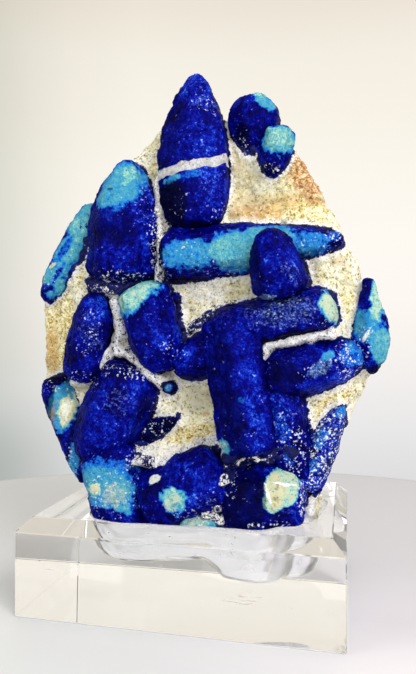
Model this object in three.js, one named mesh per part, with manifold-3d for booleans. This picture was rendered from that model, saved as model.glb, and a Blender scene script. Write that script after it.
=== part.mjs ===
// Afghanite crystals in white marble, standing in the hand-carved trough of a clear acrylic block.
//
// Millimetres, +Z up. The origin is the centre of the block's underside, +X runs along the block's
// long side and -Y is the side that the specimen shows its crystals to.

import * as THREE from "three";
import { mergeVertices } from "three/addons/utils/BufferGeometryUtils.js";
import Module from "manifold-3d";

const wasm = await Module();
wasm.setup();

// ---------------------------------------------------------------------------------------------
// Driving dimensions
// ---------------------------------------------------------------------------------------------

// Clear air between two pieces that touch.
const CLEARANCE = 0.3;

// The acrylic block: a bevel runs round its four top edges.
const BLOCK = { length: 100, depth: 75, height: 30, bevel: 4 };

// The trough: its rim on the block's top face as [x, y], and how deep it is at its two ends.
const TROUGH = {
  rim: [
    [-28.5, -28], [-23.5, -31.6], [-8, -32], [7, -31], [17, -30.8], [26, -30.4],
    [31.6, -22], [35.5, -12], [40.5, -7], [43, 0], [41, 8], [26, 12.5],
    [5, 13.5], [-15, 12.5], [-27, 8], [-31.5, -3], [-31.5, -17],
  ],
  centre: [5, -9],
  shallow: 9.5,
  deep: 14.5,
  deepensFrom: 0,
  deepensTo: 12,
  // The bowl's wall as [share of the depth, distance in from the rim at the shallow end].
  wall: [[0, 0], [0.25, 1.4], [0.5, 3.2], [0.75, 5.8], [0.92, 9], [1, 13]],
  wallSpread: 0.6,
};

// The marble slab's rim as [x, z], once round from the top, clockwise as seen from the front.
const SLAB_RIM = [
  [4, 157], [10.5, 155.5], [20, 156.5], [27, 152], [32, 148], [35, 143], [38.6, 137],
  [43.2, 129], [46.5, 123], [49, 117], [52, 110], [54.4, 103.7], [57, 97], [59, 88],
  [58, 77], [55.3, 70.8], [52.3, 65], [49.5, 59], [45.2, 50], [42, 43], [41.2, 35.5],
  [41.5, 27], [39, 19], [33, 13], [20, 11], [5, 12], [-8, 16], [-20, 18], [-28, 22],
  [-31.5, 29.5], [-36.5, 37], [-42, 46], [-46.5, 56], [-51, 64.5], [-54.6, 71], [-55.6, 79],
  [-54.6, 88], [-55.4, 99], [-53, 108], [-47.5, 116], [-41, 124], [-34, 131], [-28, 138],
  [-22, 144], [-19, 147.5], [-11.5, 155], [-5, 157],
];
const SLAB_CENTRE = [3, 84];
// Broken faces of the slab as planes y = at + alongX * x + alongZ * z.
const SLAB_FRONT = [
  { at: -16, alongX: 0, alongZ: 0 },
  { at: -18.7, alongX: 0.45, alongZ: -0.25 },
  { at: -34.5, alongX: 0, alongZ: 0.15 },
  { at: -29.5, alongX: -0.35, alongZ: 0 },
  { at: -33, alongX: 0.4, alongZ: 0 },
];
const SLAB_BACK = [
  { at: 14.5, alongX: 0, alongZ: 0 },
  { at: 27, alongX: 0.02, alongZ: -0.16 },
  { at: 31, alongX: 0.52, alongZ: 0 },
  { at: 30, alongX: -0.44, alongZ: -0.03 },
  { at: 4, alongX: 0.04, alongZ: 0.22 },
];
// A step in the slab's back, where a cleavage plane broke away, and how wide its slope is.
const BACK_LEDGE = { height: 3.2, alongX: 0.42, at: 104, width: 3 };
// Rings of the slab, as shares of the way from its centre to its rim.
const SLAB_RINGS = [0.24, 0.45, 0.64, 0.8, 0.91, 0.97];
const SLAB_EDGE = 2.6;

// The calcite vein that parts the tall top crystal: its middle, thickness and tilt to the right.
const VEIN = { at: [2, 142.8], thickness: 2.4, tiltDegrees: 8 };

// Each crystal is a six-sided barrel along a straight axis from foot to tip, both [x, y, z].
//   half   half its greatest width, across the axis and across the line of sight
//   proud  how far it stands forward of its axis, root how far it reaches behind it
//   ends   [share of the length that tapers, width left at the very end, roundness] for the
//          foot and the tip: roundness 0.5 is an ellipse, 1 is a sharp parabola
//   turn   degrees that its faces are turned about the axis; at 0 an edge faces forward
const TOP_CRYSTAL = {
  foot: [1.8, -17, 120.5], tip: [2.2, -13.5, 172], half: 11.5, proud: 10, root: 10,
  ends: [[0.24, 0.62, 0.7], [0.66, 0.12, 0.72]], turn: 0,
};
const CROSS_CRYSTAL = {
  foot: [-8.8, -18, 112.2], tip: [49, -16, 116], half: 8.9, proud: 8, root: 6,
  ends: [[0.06, 0.9, 0.5], [0.88, 0.2, 0.8]], turn: 30,
};
const LEANING_CRYSTAL = {
  foot: [31.5, -23.5, 98], tip: [27, -28, 118.3], half: 8.5, proud: 7.5, root: 7,
  ends: [[0.1, 0.9, 0.5], [0.78, 0.2, 0.7]], turn: 30,
};
const UPPER_LEFT_CRYSTAL = {
  foot: [-21.6, -19, 103], tip: [-18.8, -17, 144], half: 11.6, proud: 9.5, root: 9,
  ends: [[0.06, 0.9, 0.5], [0.6, 0.18, 0.66]], turn: 22,
};
const LEFT_EDGE_CRYSTAL = {
  foot: [-51.3, -13, 102.5], tip: [-32.5, -12.5, 131], half: 5.9, proud: 5, root: 5,
  ends: [[0.14, 0.6, 0.6], [0.2, 0.7, 0.6]], turn: 30,
};
const LEFT_BARREL_CRYSTAL = {
  foot: [-35.8, -19, 71], tip: [-30.3, -19, 101], half: 6.9, proud: 8, root: 6,
  ends: [[0.22, 0.55, 0.5], [0.5, 0.25, 0.6]], turn: 10,
};
const MINT_CAP_CRYSTAL = {
  foot: [-7, -19, 75], tip: [-14.9, -21, 103.5], half: 9, proud: 9, root: 7,
  ends: [[0.42, 0.25, 0.5], [0.24, 0.68, 0.5]], turn: 30,
};
const CENTRAL_CLUSTER = [
  { // the tall striated crystal
    foot: [18.3, -21, 51], tip: [14.6, -21, 94], half: 8.8, proud: 10, root: 9,
    ends: [[0.26, 0.5, 0.6], [0.12, 0.72, 0.5]], turn: 0,
  },
  { // its arm to the upper right
    foot: [10, -19, 86.5], tip: [48.8, -19.5, 94.6], half: 7.9, proud: 8.5, root: 8,
    ends: [[0.1, 0.7, 0.5], [0.18, 0.45, 0.5]], turn: 30,
  },
  { // the knob on its left
    foot: [11, -18, 84], tip: [-3.4, -19, 75.4], half: 6.8, proud: 8, root: 7,
    ends: [[0.1, 0.9, 0.5], [0.5, 0.25, 0.5]], turn: 15,
  },
  { // the speckled crystal on its lower right
    foot: [33, -17, 43], tip: [28.5, -18, 73], half: 7.8, proud: 7.5, root: 8,
    ends: [[0.15, 0.7, 0.5], [0.3, 0.5, 0.5]], turn: 20,
  },
];
const RIGHT_PAIR = [
  { // the thick bullet
    foot: [24.6, -20, 71.5], tip: [57, -16, 82.5], half: 7.8, proud: 8.5, root: 7,
    ends: [[0.42, 0.3, 0.5], [0.66, 0.55, 0.8]], turn: 25,
  },
  { // the pale crystal on the right edge
    foot: [53.8, -13, 75.5], tip: [57, -11, 104], half: 6.3, proud: 5.5, root: 7,
    ends: [[0.12, 0.65, 0.6], [0.62, 0.2, 0.8]], turn: 10,
  },
];
const LOWER_RIGHT_CRYSTAL = {
  foot: [36, -10, 34], tip: [46.6, -11, 65], half: 5.8, proud: 6, root: 6,
  ends: [[0.12, 0.8, 0.5], [0.55, 0.2, 0.8]], turn: 0,
};
const LOWER_LEFT_PAIR = [
  { // the broad upper crystal
    foot: [-30.5, -20, 45], tip: [-16.8, -19.5, 77], half: 11.2, proud: 10, root: 8,
    ends: [[0.2, 0.8, 0.5], [0.36, 0.45, 0.55]], turn: 20,
  },
  { // the granular lower end
    foot: [-19, -20.5, 22], tip: [-27, -19.5, 52], half: 10.8, proud: 10, root: 8,
    ends: [[0.1, 0.9, 0.5], [0.2, 0.8, 0.5]], turn: 30,
  },
  { // the thin crystal down the left edge
    foot: [-36.5, -15, 37], tip: [-48, -15, 73], half: 5.8, proud: 5, root: 6,
    ends: [[0.62, 0.3, 0.8], [0.16, 0.6, 0.5]], turn: 30,
  },
];
const SPINDLE_CRYSTAL = {
  foot: [-21.5, -16.5, 51.6], tip: [-3, -16.5, 59.6], half: 3.3, proud: 3.4, root: 3,
  ends: [[0.5, 0.15, 0.75], [0.5, 0.12, 0.75]], turn: 0,
};
const LOWER_CENTRE_CRYSTAL = {
  foot: [-14, -21, 31], tip: [17, -20, 44], half: 10, proud: 9.5, root: 8,
  ends: [[0.12, 0.85, 0.5], [0.2, 0.7, 0.5]], turn: 30,
};
const EYE_CRYSTAL = {
  foot: [11, -18.5, 34], tip: [38, -15.5, 36.5], half: 12.8, proud: 12, root: 9,
  ends: [[0.4, 0.4, 0.5], [0.45, 0.45, 0.5]], turn: 30,
};
const FOOT_CRYSTAL = {
  foot: [0.5, -24, 25.5], tip: [12, -24.5, 26.5], half: 4.6, proud: 5, root: 4,
  ends: [[0.3, 0.5, 0.5], [0.3, 0.5, 0.5]], turn: 30,
};
const TOP_RIGHT_PAIR = [
  { // the upper stub
    foot: [20.2, -11.5, 146.5], tip: [20.8, -13, 163.2], half: 7, proud: 6.5, root: 7,
    ends: [[0.5, 0.4, 0.7], [0.36, 0.5, 0.6]], turn: 10,
  },
  { // the mint stub below it
    foot: [26.6, -12, 137], tip: [29.6, -13, 152.8], half: 5.2, proud: 5.5, root: 6,
    ends: [[0.5, 0.35, 0.7], [0.2, 0.7, 0.5]], turn: 25,
  },
];
// Small crystals that point straight out of the slab.
const BEAD_CRYSTAL = {
  foot: [-6.2, -12, 69.7], tip: [-6, -19.3, 69.7], half: 2.2, proud: 2.2, root: 2.2,
  ends: [[0.1, 1, 0.5], [0.3, 0.55, 0.5]], turn: 0,
};
const KNOB_CRYSTAL = {
  foot: [-4.6, -12, 98.4], tip: [-4.6, -19.6, 98.6], half: 1.9, proud: 1.9, root: 1.9,
  ends: [[0.1, 1, 0.5], [0.4, 0.4, 0.5]], turn: 20,
};

// Sections along a crystal, as shares of its length: fewer on one shorter than SHORT_CRYSTAL.
const LONG_SECTIONS = [0, 0.07, 0.22, 0.42, 0.62, 0.8, 0.93, 1];
const SHORT_SECTIONS = [0, 0.14, 0.4, 0.68, 0.9, 1];
const SHORT_CRYSTAL = 21;
// The six edges of a crystal thicker than this are bevelled, by so many degrees to either side.
const BEVELLED_FROM = 8.4;
const EDGE_BEVEL = 9;

// ---------------------------------------------------------------------------------------------
// Solids
// ---------------------------------------------------------------------------------------------

// A closed surface through rings of points, with a point that closes each end.
function loft(start, rings, end) {
  const count = rings[0].length;
  const points = [start, ...rings.flat(), end];
  const last = points.length - 1;
  const index = [];
  for (let i = 0; i < count; i++) {
    const next = (i + 1) % count;
    index.push(0, 1 + next, 1 + i);
    for (let ring = 0; ring < rings.length - 1; ring++) {
      const low = 1 + ring * count;
      const high = low + count;
      index.push(low + i, low + next, high + next, low + i, high + next, high + i);
    }
    const top = last - count;
    index.push(top + i, top + next, last);
  }
  const geometry = new THREE.BufferGeometry();
  geometry.setAttribute("position", new THREE.Float32BufferAttribute(points.flat(), 3));
  geometry.setIndex(index);
  return solidFrom(geometry);
}

// A manifold solid of a closed geometry, turned right side out if its faces point inwards.
function solidFrom(geometry) {
  const plain = geometry.clone();
  plain.deleteAttribute("normal");
  plain.deleteAttribute("uv");
  const merged = mergeVertices(plain, 1e-4);
  const build = (triVerts) =>
    new wasm.Manifold(
      new wasm.Mesh({ numProp: 3, vertProperties: merged.attributes.position.array, triVerts }),
    );
  const triVerts = new Uint32Array(merged.index.array);
  const solid = build(triVerts);
  return solid.volume() < 0 ? build(triVerts.reverse()) : solid;
}

// The largest of the bodies that a cut leaves: slivers shorn off at an edge are dropped.
function largestBody(solid) {
  return solid.decompose().reduce((best, body) => (body.volume() > best.volume() ? body : best));
}

function joined(solids) {
  return solids.reduce((all, solid) => all.add(solid));
}

function smoothStep(from, to, value) {
  const share = Math.min(1, Math.max(0, (value - from) / (to - from)));
  return share * share * (3 - 2 * share);
}

// ---------------------------------------------------------------------------------------------
// The block and the trough
// ---------------------------------------------------------------------------------------------

function rectangle(inset, z) {
  const x = BLOCK.length / 2 - inset;
  const y = BLOCK.depth / 2 - inset;
  return [[-x, -y, z], [x, -y, z], [x, y, z], [-x, y, z]];
}

function blockSolid() {
  const shoulder = BLOCK.height - BLOCK.bevel;
  const rings = [rectangle(0, 0), rectangle(0, shoulder), rectangle(BLOCK.bevel, BLOCK.height)];
  return loft([0, 0, 0], rings, [0, 0, BLOCK.height]);
}

function troughDepth(x) {
  const share = smoothStep(TROUGH.deepensFrom, TROUGH.deepensTo, x);
  return TROUGH.shallow + (TROUGH.deep - TROUGH.shallow) * share;
}

// The bowl that the specimen's foot fills. grow widens it all round, for the trough itself.
function footSolid(grow) {
  const [centreX, centreY] = TROUGH.centre;
  const ring = ([share, inward]) =>
    TROUGH.rim.map(([x, y]) => {
      const depth = troughDepth(x);
      const reach = Math.hypot(x - centreX, y - centreY);
      const spread = (depth / TROUGH.shallow) ** TROUGH.wallSpread;
      const scale = Math.max(0.12, 1 - (inward * spread - grow) / reach);
      const place = centreX + (x - centreX) * scale;
      const z = BLOCK.height - troughDepth(place) * share - grow * (share > 0 ? 1 : 0);
      return [place, centreY + (y - centreY) * scale, z];
    });
  const mouth = ring([0, 0]).map(([x, y]) => [x, y, BLOCK.height + 2]);
  const bottom = BLOCK.height - troughDepth(centreX) - grow;
  return loft(
    [centreX, centreY, BLOCK.height + 2],
    [mouth, ...TROUGH.wall.map(ring)],
    [centreX, centreY, bottom],
  );
}

// Everything that the specimen may not enter: the block's outer box, grown by the clearance,
// without the bowl that its foot fills.
function baseKeepOut() {
  const wide = new THREE.BoxGeometry(400, 400, BLOCK.height + CLEARANCE);
  wide.translate(0, 0, (BLOCK.height + CLEARANCE) / 2);
  return solidFrom(wide).subtract(footSolid(0));
}

// ---------------------------------------------------------------------------------------------
// Crystals
// ---------------------------------------------------------------------------------------------

// Width of a crystal at a share of its length, against its greatest width.
function barrelWidth(share, [[footLength, footWidth, footRound], [tipLength, tipWidth, tipRound]]) {
  const taper = (q, least, roundness) =>
    least + (1 - least) * Math.max(0, 1 - q * q) ** roundness;
  if (share < footLength) return taper(1 - share / footLength, footWidth, footRound);
  if (share > 1 - tipLength) return taper((share - 1 + tipLength) / tipLength, tipWidth, tipRound);
  return 1;
}

// One crystal, grown on every side by grow.
function crystalSolid(shape, grow = 0) {
  const foot = new THREE.Vector3(...shape.foot);
  const tip = new THREE.Vector3(...shape.tip);
  const along = tip.clone().sub(foot);
  const sections = along.length() < SHORT_CRYSTAL ? SHORT_SECTIONS : LONG_SECTIONS;
  along.normalize();
  foot.addScaledVector(along, -grow);
  tip.addScaledVector(along, grow);
  const pointsOut = Math.abs(along.y) > 0.9;
  const front = pointsOut ? new THREE.Vector3(0, 0, 1) : new THREE.Vector3(0, -1, 0);
  front.addScaledVector(along, -front.dot(along)).normalize();
  const side = new THREE.Vector3().crossVectors(along, front);

  const corners = [];
  const bevels = shape.half > BEVELLED_FROM ? [-EDGE_BEVEL, EDGE_BEVEL] : [0];
  for (let edge = 0; edge < 6; edge++) {
    for (const bevel of bevels) {
      const angle = THREE.MathUtils.degToRad(90 + 60 * edge + bevel + shape.turn);
      corners.push([Math.cos(angle), Math.sin(angle)]);
    }
  }
  const widest = Math.max(...corners.map(([across]) => Math.abs(across)));
  const deepest = Math.max(...corners.map(([, forward]) => Math.abs(forward)));

  const rings = sections.map((share) => {
    const width = barrelWidth(share, shape.ends);
    return corners.map(([across, forward]) => {
      const reach = forward > 0 ? shape.proud : shape.root;
      return foot
        .clone()
        .lerp(tip, share)
        .addScaledVector(side, (across / widest) * (shape.half * width + grow))
        .addScaledVector(front, (forward / deepest) * (reach * width ** 0.8 + grow))
        .toArray();
    });
  });
  return loft(foot.toArray(), rings, tip.toArray());
}

function crystalGroup(shapes, grow = 0) {
  return joined([shapes].flat().map((shape) => crystalSolid(shape, grow)));
}

// A wide slab between two heights, tilted as the vein is and centred on it.
function veinSlab(low, high) {
  const slab = new THREE.BoxGeometry(200, 200, high - low);
  slab.translate(0, 0, (low + high) / 2);
  slab.rotateY(-THREE.MathUtils.degToRad(VEIN.tiltDegrees));
  slab.translate(VEIN.at[0], 0, VEIN.at[1]);
  return solidFrom(slab);
}

// ---------------------------------------------------------------------------------------------
// The marble
// ---------------------------------------------------------------------------------------------

function planeAt({ at, alongX, alongZ }, x, z) {
  return at + alongX * x + alongZ * z;
}

// Low lumps of the broken marble, from four crossed waves.
function lumps(x, z) {
  const broad = 0.9 * Math.sin(0.19 * x + 0.11 * z + 0.7) * Math.cos(0.16 * z - 0.08 * x);
  const fine = 0.5 * Math.sin(0.47 * x - 0.33 * z + 2.1) * Math.sin(0.41 * z + 0.29 * x + 0.4);
  return broad + fine;
}

function slabFront(x, z) {
  return Math.max(...SLAB_FRONT.map((plane) => planeAt(plane, x, z))) + lumps(x, z);
}

function slabBack(x, z) {
  const { height, alongX, at, width } = BACK_LEDGE;
  const step = height * smoothStep(at - width, at + width, z + alongX * x);
  const rough = 1.7 * lumps(x + 31, z - 12);
  return Math.min(...SLAB_BACK.map((plane) => planeAt(plane, x, z))) - step + rough;
}

function slabSolid() {
  const [centreX, centreZ] = SLAB_CENTRE;
  const ring = (share, depthAt) =>
    SLAB_RIM.map(([x, z]) => {
      const placeX = centreX + (x - centreX) * share;
      const placeZ = centreZ + (z - centreZ) * share;
      return [placeX, depthAt(placeX, placeZ), placeZ];
    });
  const front = SLAB_RINGS.map((share) => ring(share, slabFront));
  const back = SLAB_RINGS.map((share) => ring(share, slabBack)).reverse();
  const frontEdge = ring(1, (x, z) => slabFront(x, z) + SLAB_EDGE);
  const backEdge = ring(0.985, (x, z) => slabBack(x, z) - SLAB_EDGE);
  return loft(
    [centreX, slabFront(centreX, centreZ), centreZ],
    [...front, frontEdge, backEdge, ...back],
    [centreX, slabBack(centreX, centreZ), centreZ],
  );
}

// ---------------------------------------------------------------------------------------------
// Materials
// ---------------------------------------------------------------------------------------------

function stone(color, roughness) {
  return new THREE.MeshStandardMaterial({ color, roughness, metalness: 0, flatShading: true });
}

const MATERIALS = {
  acrylic: new THREE.MeshPhysicalMaterial({
    color: "#f6f4ee", roughness: 0.03, metalness: 0, transmission: 1, ior: 1.49, thickness: 30,
  }),
  marble: stone("#ded7bd", 0.8),
  ultramarine: stone("#0d1787", 0.5),
  turquoise: stone("#5aa9cf", 0.55),
  pale: stone("#8cc4d8", 0.6),
};

// ---------------------------------------------------------------------------------------------
// The assembly
// ---------------------------------------------------------------------------------------------

const TALL = 200;
const aboveVein = (gap) => veinSlab(VEIN.thickness / 2 + gap, TALL);
const belowVein = (gap) => veinSlab(-TALL, -VEIN.thickness / 2 - gap);

// Crystals in order: where two touch, the later one is cut back by the clearance.
const CRYSTALS = [
  ["leaning_crystal", LEANING_CRYSTAL, "ultramarine"],
  ["central_cluster", CENTRAL_CLUSTER, "ultramarine"],
  ["eye_crystal", EYE_CRYSTAL, "ultramarine"],
  ["right_pair", RIGHT_PAIR, "ultramarine"],
  ["upper_left_crystal", UPPER_LEFT_CRYSTAL, "ultramarine"],
  ["mint_cap_crystal", MINT_CAP_CRYSTAL, "ultramarine"],
  ["left_barrel_crystal", LEFT_BARREL_CRYSTAL, "ultramarine"],
  ["lower_left_pair", LOWER_LEFT_PAIR, "ultramarine"],
  ["lower_centre_crystal", LOWER_CENTRE_CRYSTAL, "ultramarine"],
  ["cross_crystal", CROSS_CRYSTAL, "turquoise"],
  ["top_crystal_tip", TOP_CRYSTAL, "ultramarine", aboveVein],
  ["top_crystal_root", TOP_CRYSTAL, "ultramarine", belowVein],
  ["left_edge_crystal", LEFT_EDGE_CRYSTAL, "pale"],
  ["top_right_pair", TOP_RIGHT_PAIR, "ultramarine"],
  ["lower_right_crystal", LOWER_RIGHT_CRYSTAL, "ultramarine"],
  ["foot_crystal", FOOT_CRYSTAL, "turquoise"],
  ["spindle_crystal", SPINDLE_CRYSTAL, "ultramarine"],
  ["bead_crystal", BEAD_CRYSTAL, "turquoise"],
  ["knob_crystal", KNOB_CRYSTAL, "ultramarine"],
];

// A crystal's full solid, or the part of it on one side of the vein.
function wholeCrystal(shapes, side, grow) {
  const solid = crystalGroup(shapes, grow);
  return side ? solid.intersect(side(CLEARANCE - grow)) : solid;
}

function addPiece(parent, name, solid, material) {
  const mesh = solid.getMesh();
  const geometry = new THREE.BufferGeometry();
  geometry.setAttribute("position", new THREE.BufferAttribute(mesh.vertProperties, 3));
  geometry.setIndex(new THREE.BufferAttribute(mesh.triVerts, 1));
  const piece = new THREE.Mesh(geometry, MATERIALS[material]);
  piece.name = name;
  parent.add(piece);
}

function buildSpecimen() {
  const specimen = new THREE.Group();
  const keepOut = baseKeepOut();
  const pockets = [];
  for (const [name, shapes, material, side] of CRYSTALS) {
    const free = pockets.reduce(
      (solid, pocket) => solid.subtract(pocket),
      wholeCrystal(shapes, side, 0).subtract(keepOut),
    );
    addPiece(specimen, name, largestBody(free), material);
    pockets.push(wholeCrystal(shapes, side, CLEARANCE));
  }
  const vein = crystalSolid(TOP_CRYSTAL, -CLEARANCE)
    .intersect(veinSlab(-VEIN.thickness / 2, VEIN.thickness / 2));
  const marble = pockets.reduce(
    (solid, pocket) => solid.subtract(pocket),
    slabSolid().add(vein).subtract(keepOut),
  );
  addPiece(specimen, "marble_matrix", largestBody(marble), "marble");
  return specimen;
}

function buildBase() {
  const base = new THREE.Group();
  addPiece(base, "acrylic_base", blockSolid().subtract(footSolid(CLEARANCE)), "acrylic");
  return base;
}

const group = new THREE.Group();
group.add(buildBase(), buildSpecimen());

export default group;
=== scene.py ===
import math

import bpy
import numpy as np
from mathutils import Euler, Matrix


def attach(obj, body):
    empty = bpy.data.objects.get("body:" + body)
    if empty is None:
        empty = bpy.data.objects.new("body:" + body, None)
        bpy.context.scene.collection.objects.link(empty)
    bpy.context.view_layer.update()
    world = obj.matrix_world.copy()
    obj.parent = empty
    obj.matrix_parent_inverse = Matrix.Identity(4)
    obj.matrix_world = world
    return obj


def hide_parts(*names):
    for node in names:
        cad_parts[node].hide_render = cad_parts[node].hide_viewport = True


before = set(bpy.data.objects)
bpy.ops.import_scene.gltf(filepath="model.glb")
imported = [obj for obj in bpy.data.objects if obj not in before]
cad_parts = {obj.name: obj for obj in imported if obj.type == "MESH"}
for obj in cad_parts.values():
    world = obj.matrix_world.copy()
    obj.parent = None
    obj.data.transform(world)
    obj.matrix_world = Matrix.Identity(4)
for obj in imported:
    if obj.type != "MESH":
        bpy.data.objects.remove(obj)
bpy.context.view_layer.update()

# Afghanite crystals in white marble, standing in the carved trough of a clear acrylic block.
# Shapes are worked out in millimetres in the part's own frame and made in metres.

MM = 0.001
IMAGE_HEIGHT, FOCAL_PIXELS, SENSOR = 674, 607.3, 36
CAMERA_PLACE, CAMERA_TILT, CAMERA_TURN = (0.05016, -0.20648, 0.08651), 89.9, 12.96
RIGHTWARD, AWAY = (0.9745, 0.2243, 0), (-0.2243, 0.9745, 0)  # as the camera sees them, level
LAMPS_AIM = (0, 0, 0.08)
ROOM_BEHIND = (214, 215, 218)  # how dark the room is behind the camera, against the backdrop
TABLE_CENTRE, TABLE_RADIUS, TABLE_GAP = (19.0, -73.0), 262.0, 0.2
FIRST_SEED, SEED_STEP = 1000, 97  # of the crystals, in the order of their table

# ---- The part's dimensions
# In millimetres and degrees. Block, trough and slab are as in the part's source; the vein and
# the ends of some crystals lie up to a few millimetres from where they are there.

CLEARANCE = 0.3
BLOCK_HALF = (50.0, 37.5)
BLOCK_HEIGHT = 30.0
BEVEL = 4.0
CORNER_CUT, SOFT = 0.35, 0.25  # how far the block's upright and level edges are broken

TROUGH_RIM = np.array([
    [-28.5, -28], [-23.5, -31.6], [-8, -32], [7, -31], [17, -30.8], [26, -30.4],
    [31.6, -22], [35.5, -12], [40.5, -7], [43, 0], [41, 8], [26, 12.5],
    [5, 13.5], [-15, 12.5], [-27, 8], [-31.5, -3], [-31.5, -17],
])
TROUGH_CENTRE = np.array([5.0, -9.0])
TROUGH_SHALLOW, TROUGH_DEEP = 9.5, 14.5
TROUGH_DEEPENS = (0.0, 12.0)
TROUGH_WALL = np.array([[0, 0], [0.25, 1.4], [0.5, 3.2], [0.75, 5.8], [0.92, 9], [1, 13]])
WALL_SPREAD = 0.6
BOWL_LEAST, POCKET_LEAST = 0.12, 0.16  # share of the rim's distance that is left at the bottom
SEAT_DEPTH = 0.97  # share of the bowl's depth that the specimen's foot fills
LAP = 1.5  # how far under the block's top a point beside the bowl may lie and be lifted onto it

SLAB_LEFT = np.array([
    [-5, 157], [-11.5, 155], [-19, 147.5], [-22, 144], [-28, 138], [-34, 131], [-41, 124],
    [-47.5, 116], [-53, 108], [-55.4, 99], [-54.6, 88], [-55.6, 79], [-54.6, 71],
    [-51, 64.5], [-46.5, 56], [-42, 46], [-36.5, 37], [-31.5, 29.5], [-28, 22], [-20, 18],
    [-8, 16], [5, 12],
])[::-1]
SLAB_RIGHT = np.array([
    [20, 156.5], [27, 152], [32, 148], [35, 143], [38.6, 137], [43.2, 129], [46.5, 123],
    [49, 117], [52, 110], [54.4, 103.7], [57, 97], [59, 88], [58, 77], [55.3, 70.8],
    [52.3, 65], [49.5, 59], [45.2, 50], [42, 43], [41.2, 35.5], [41.5, 27], [39, 19],
    [33, 13], [20, 11],
])[::-1]
SLAB_HEIGHTS = (11.5, 157.0)
# Broken faces of the slab as planes y = at + a * x + b * z, each (at, a, b).
SLAB_FRONT = ((-16, 0, 0), (-18.7, 0.45, -0.25), (-34.5, 0, 0.15), (-29.5, -0.35, 0), (-33, 0.4, 0))
SLAB_BACK = ((14.5, 0, 0), (27, 0.02, -0.16), (31, 0.52, 0), (30, -0.44, -0.03), (4, 0.04, 0.22))
LEDGE_HEIGHT, LEDGE_ALONG_X, LEDGE_AT, LEDGE_WIDTH = 3.2, 0.42, 104.0, 3.0

# The middle of the vein, how thick it is, its rise to the right, and its fall for each
# millimetre to the front.
VEIN_AT, VEIN_THICK, VEIN_TILT, VEIN_DIP = (2.0, -15.5, 140.7), 3.2, 10.5, 0.2
VEIN_SHIFT = 0.3  # of its plane and waves along x, where it cuts the crystal
VEIN_OVERLAP = 0.005  # how far it runs into both parts of the crystal, as a share of its length

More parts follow.
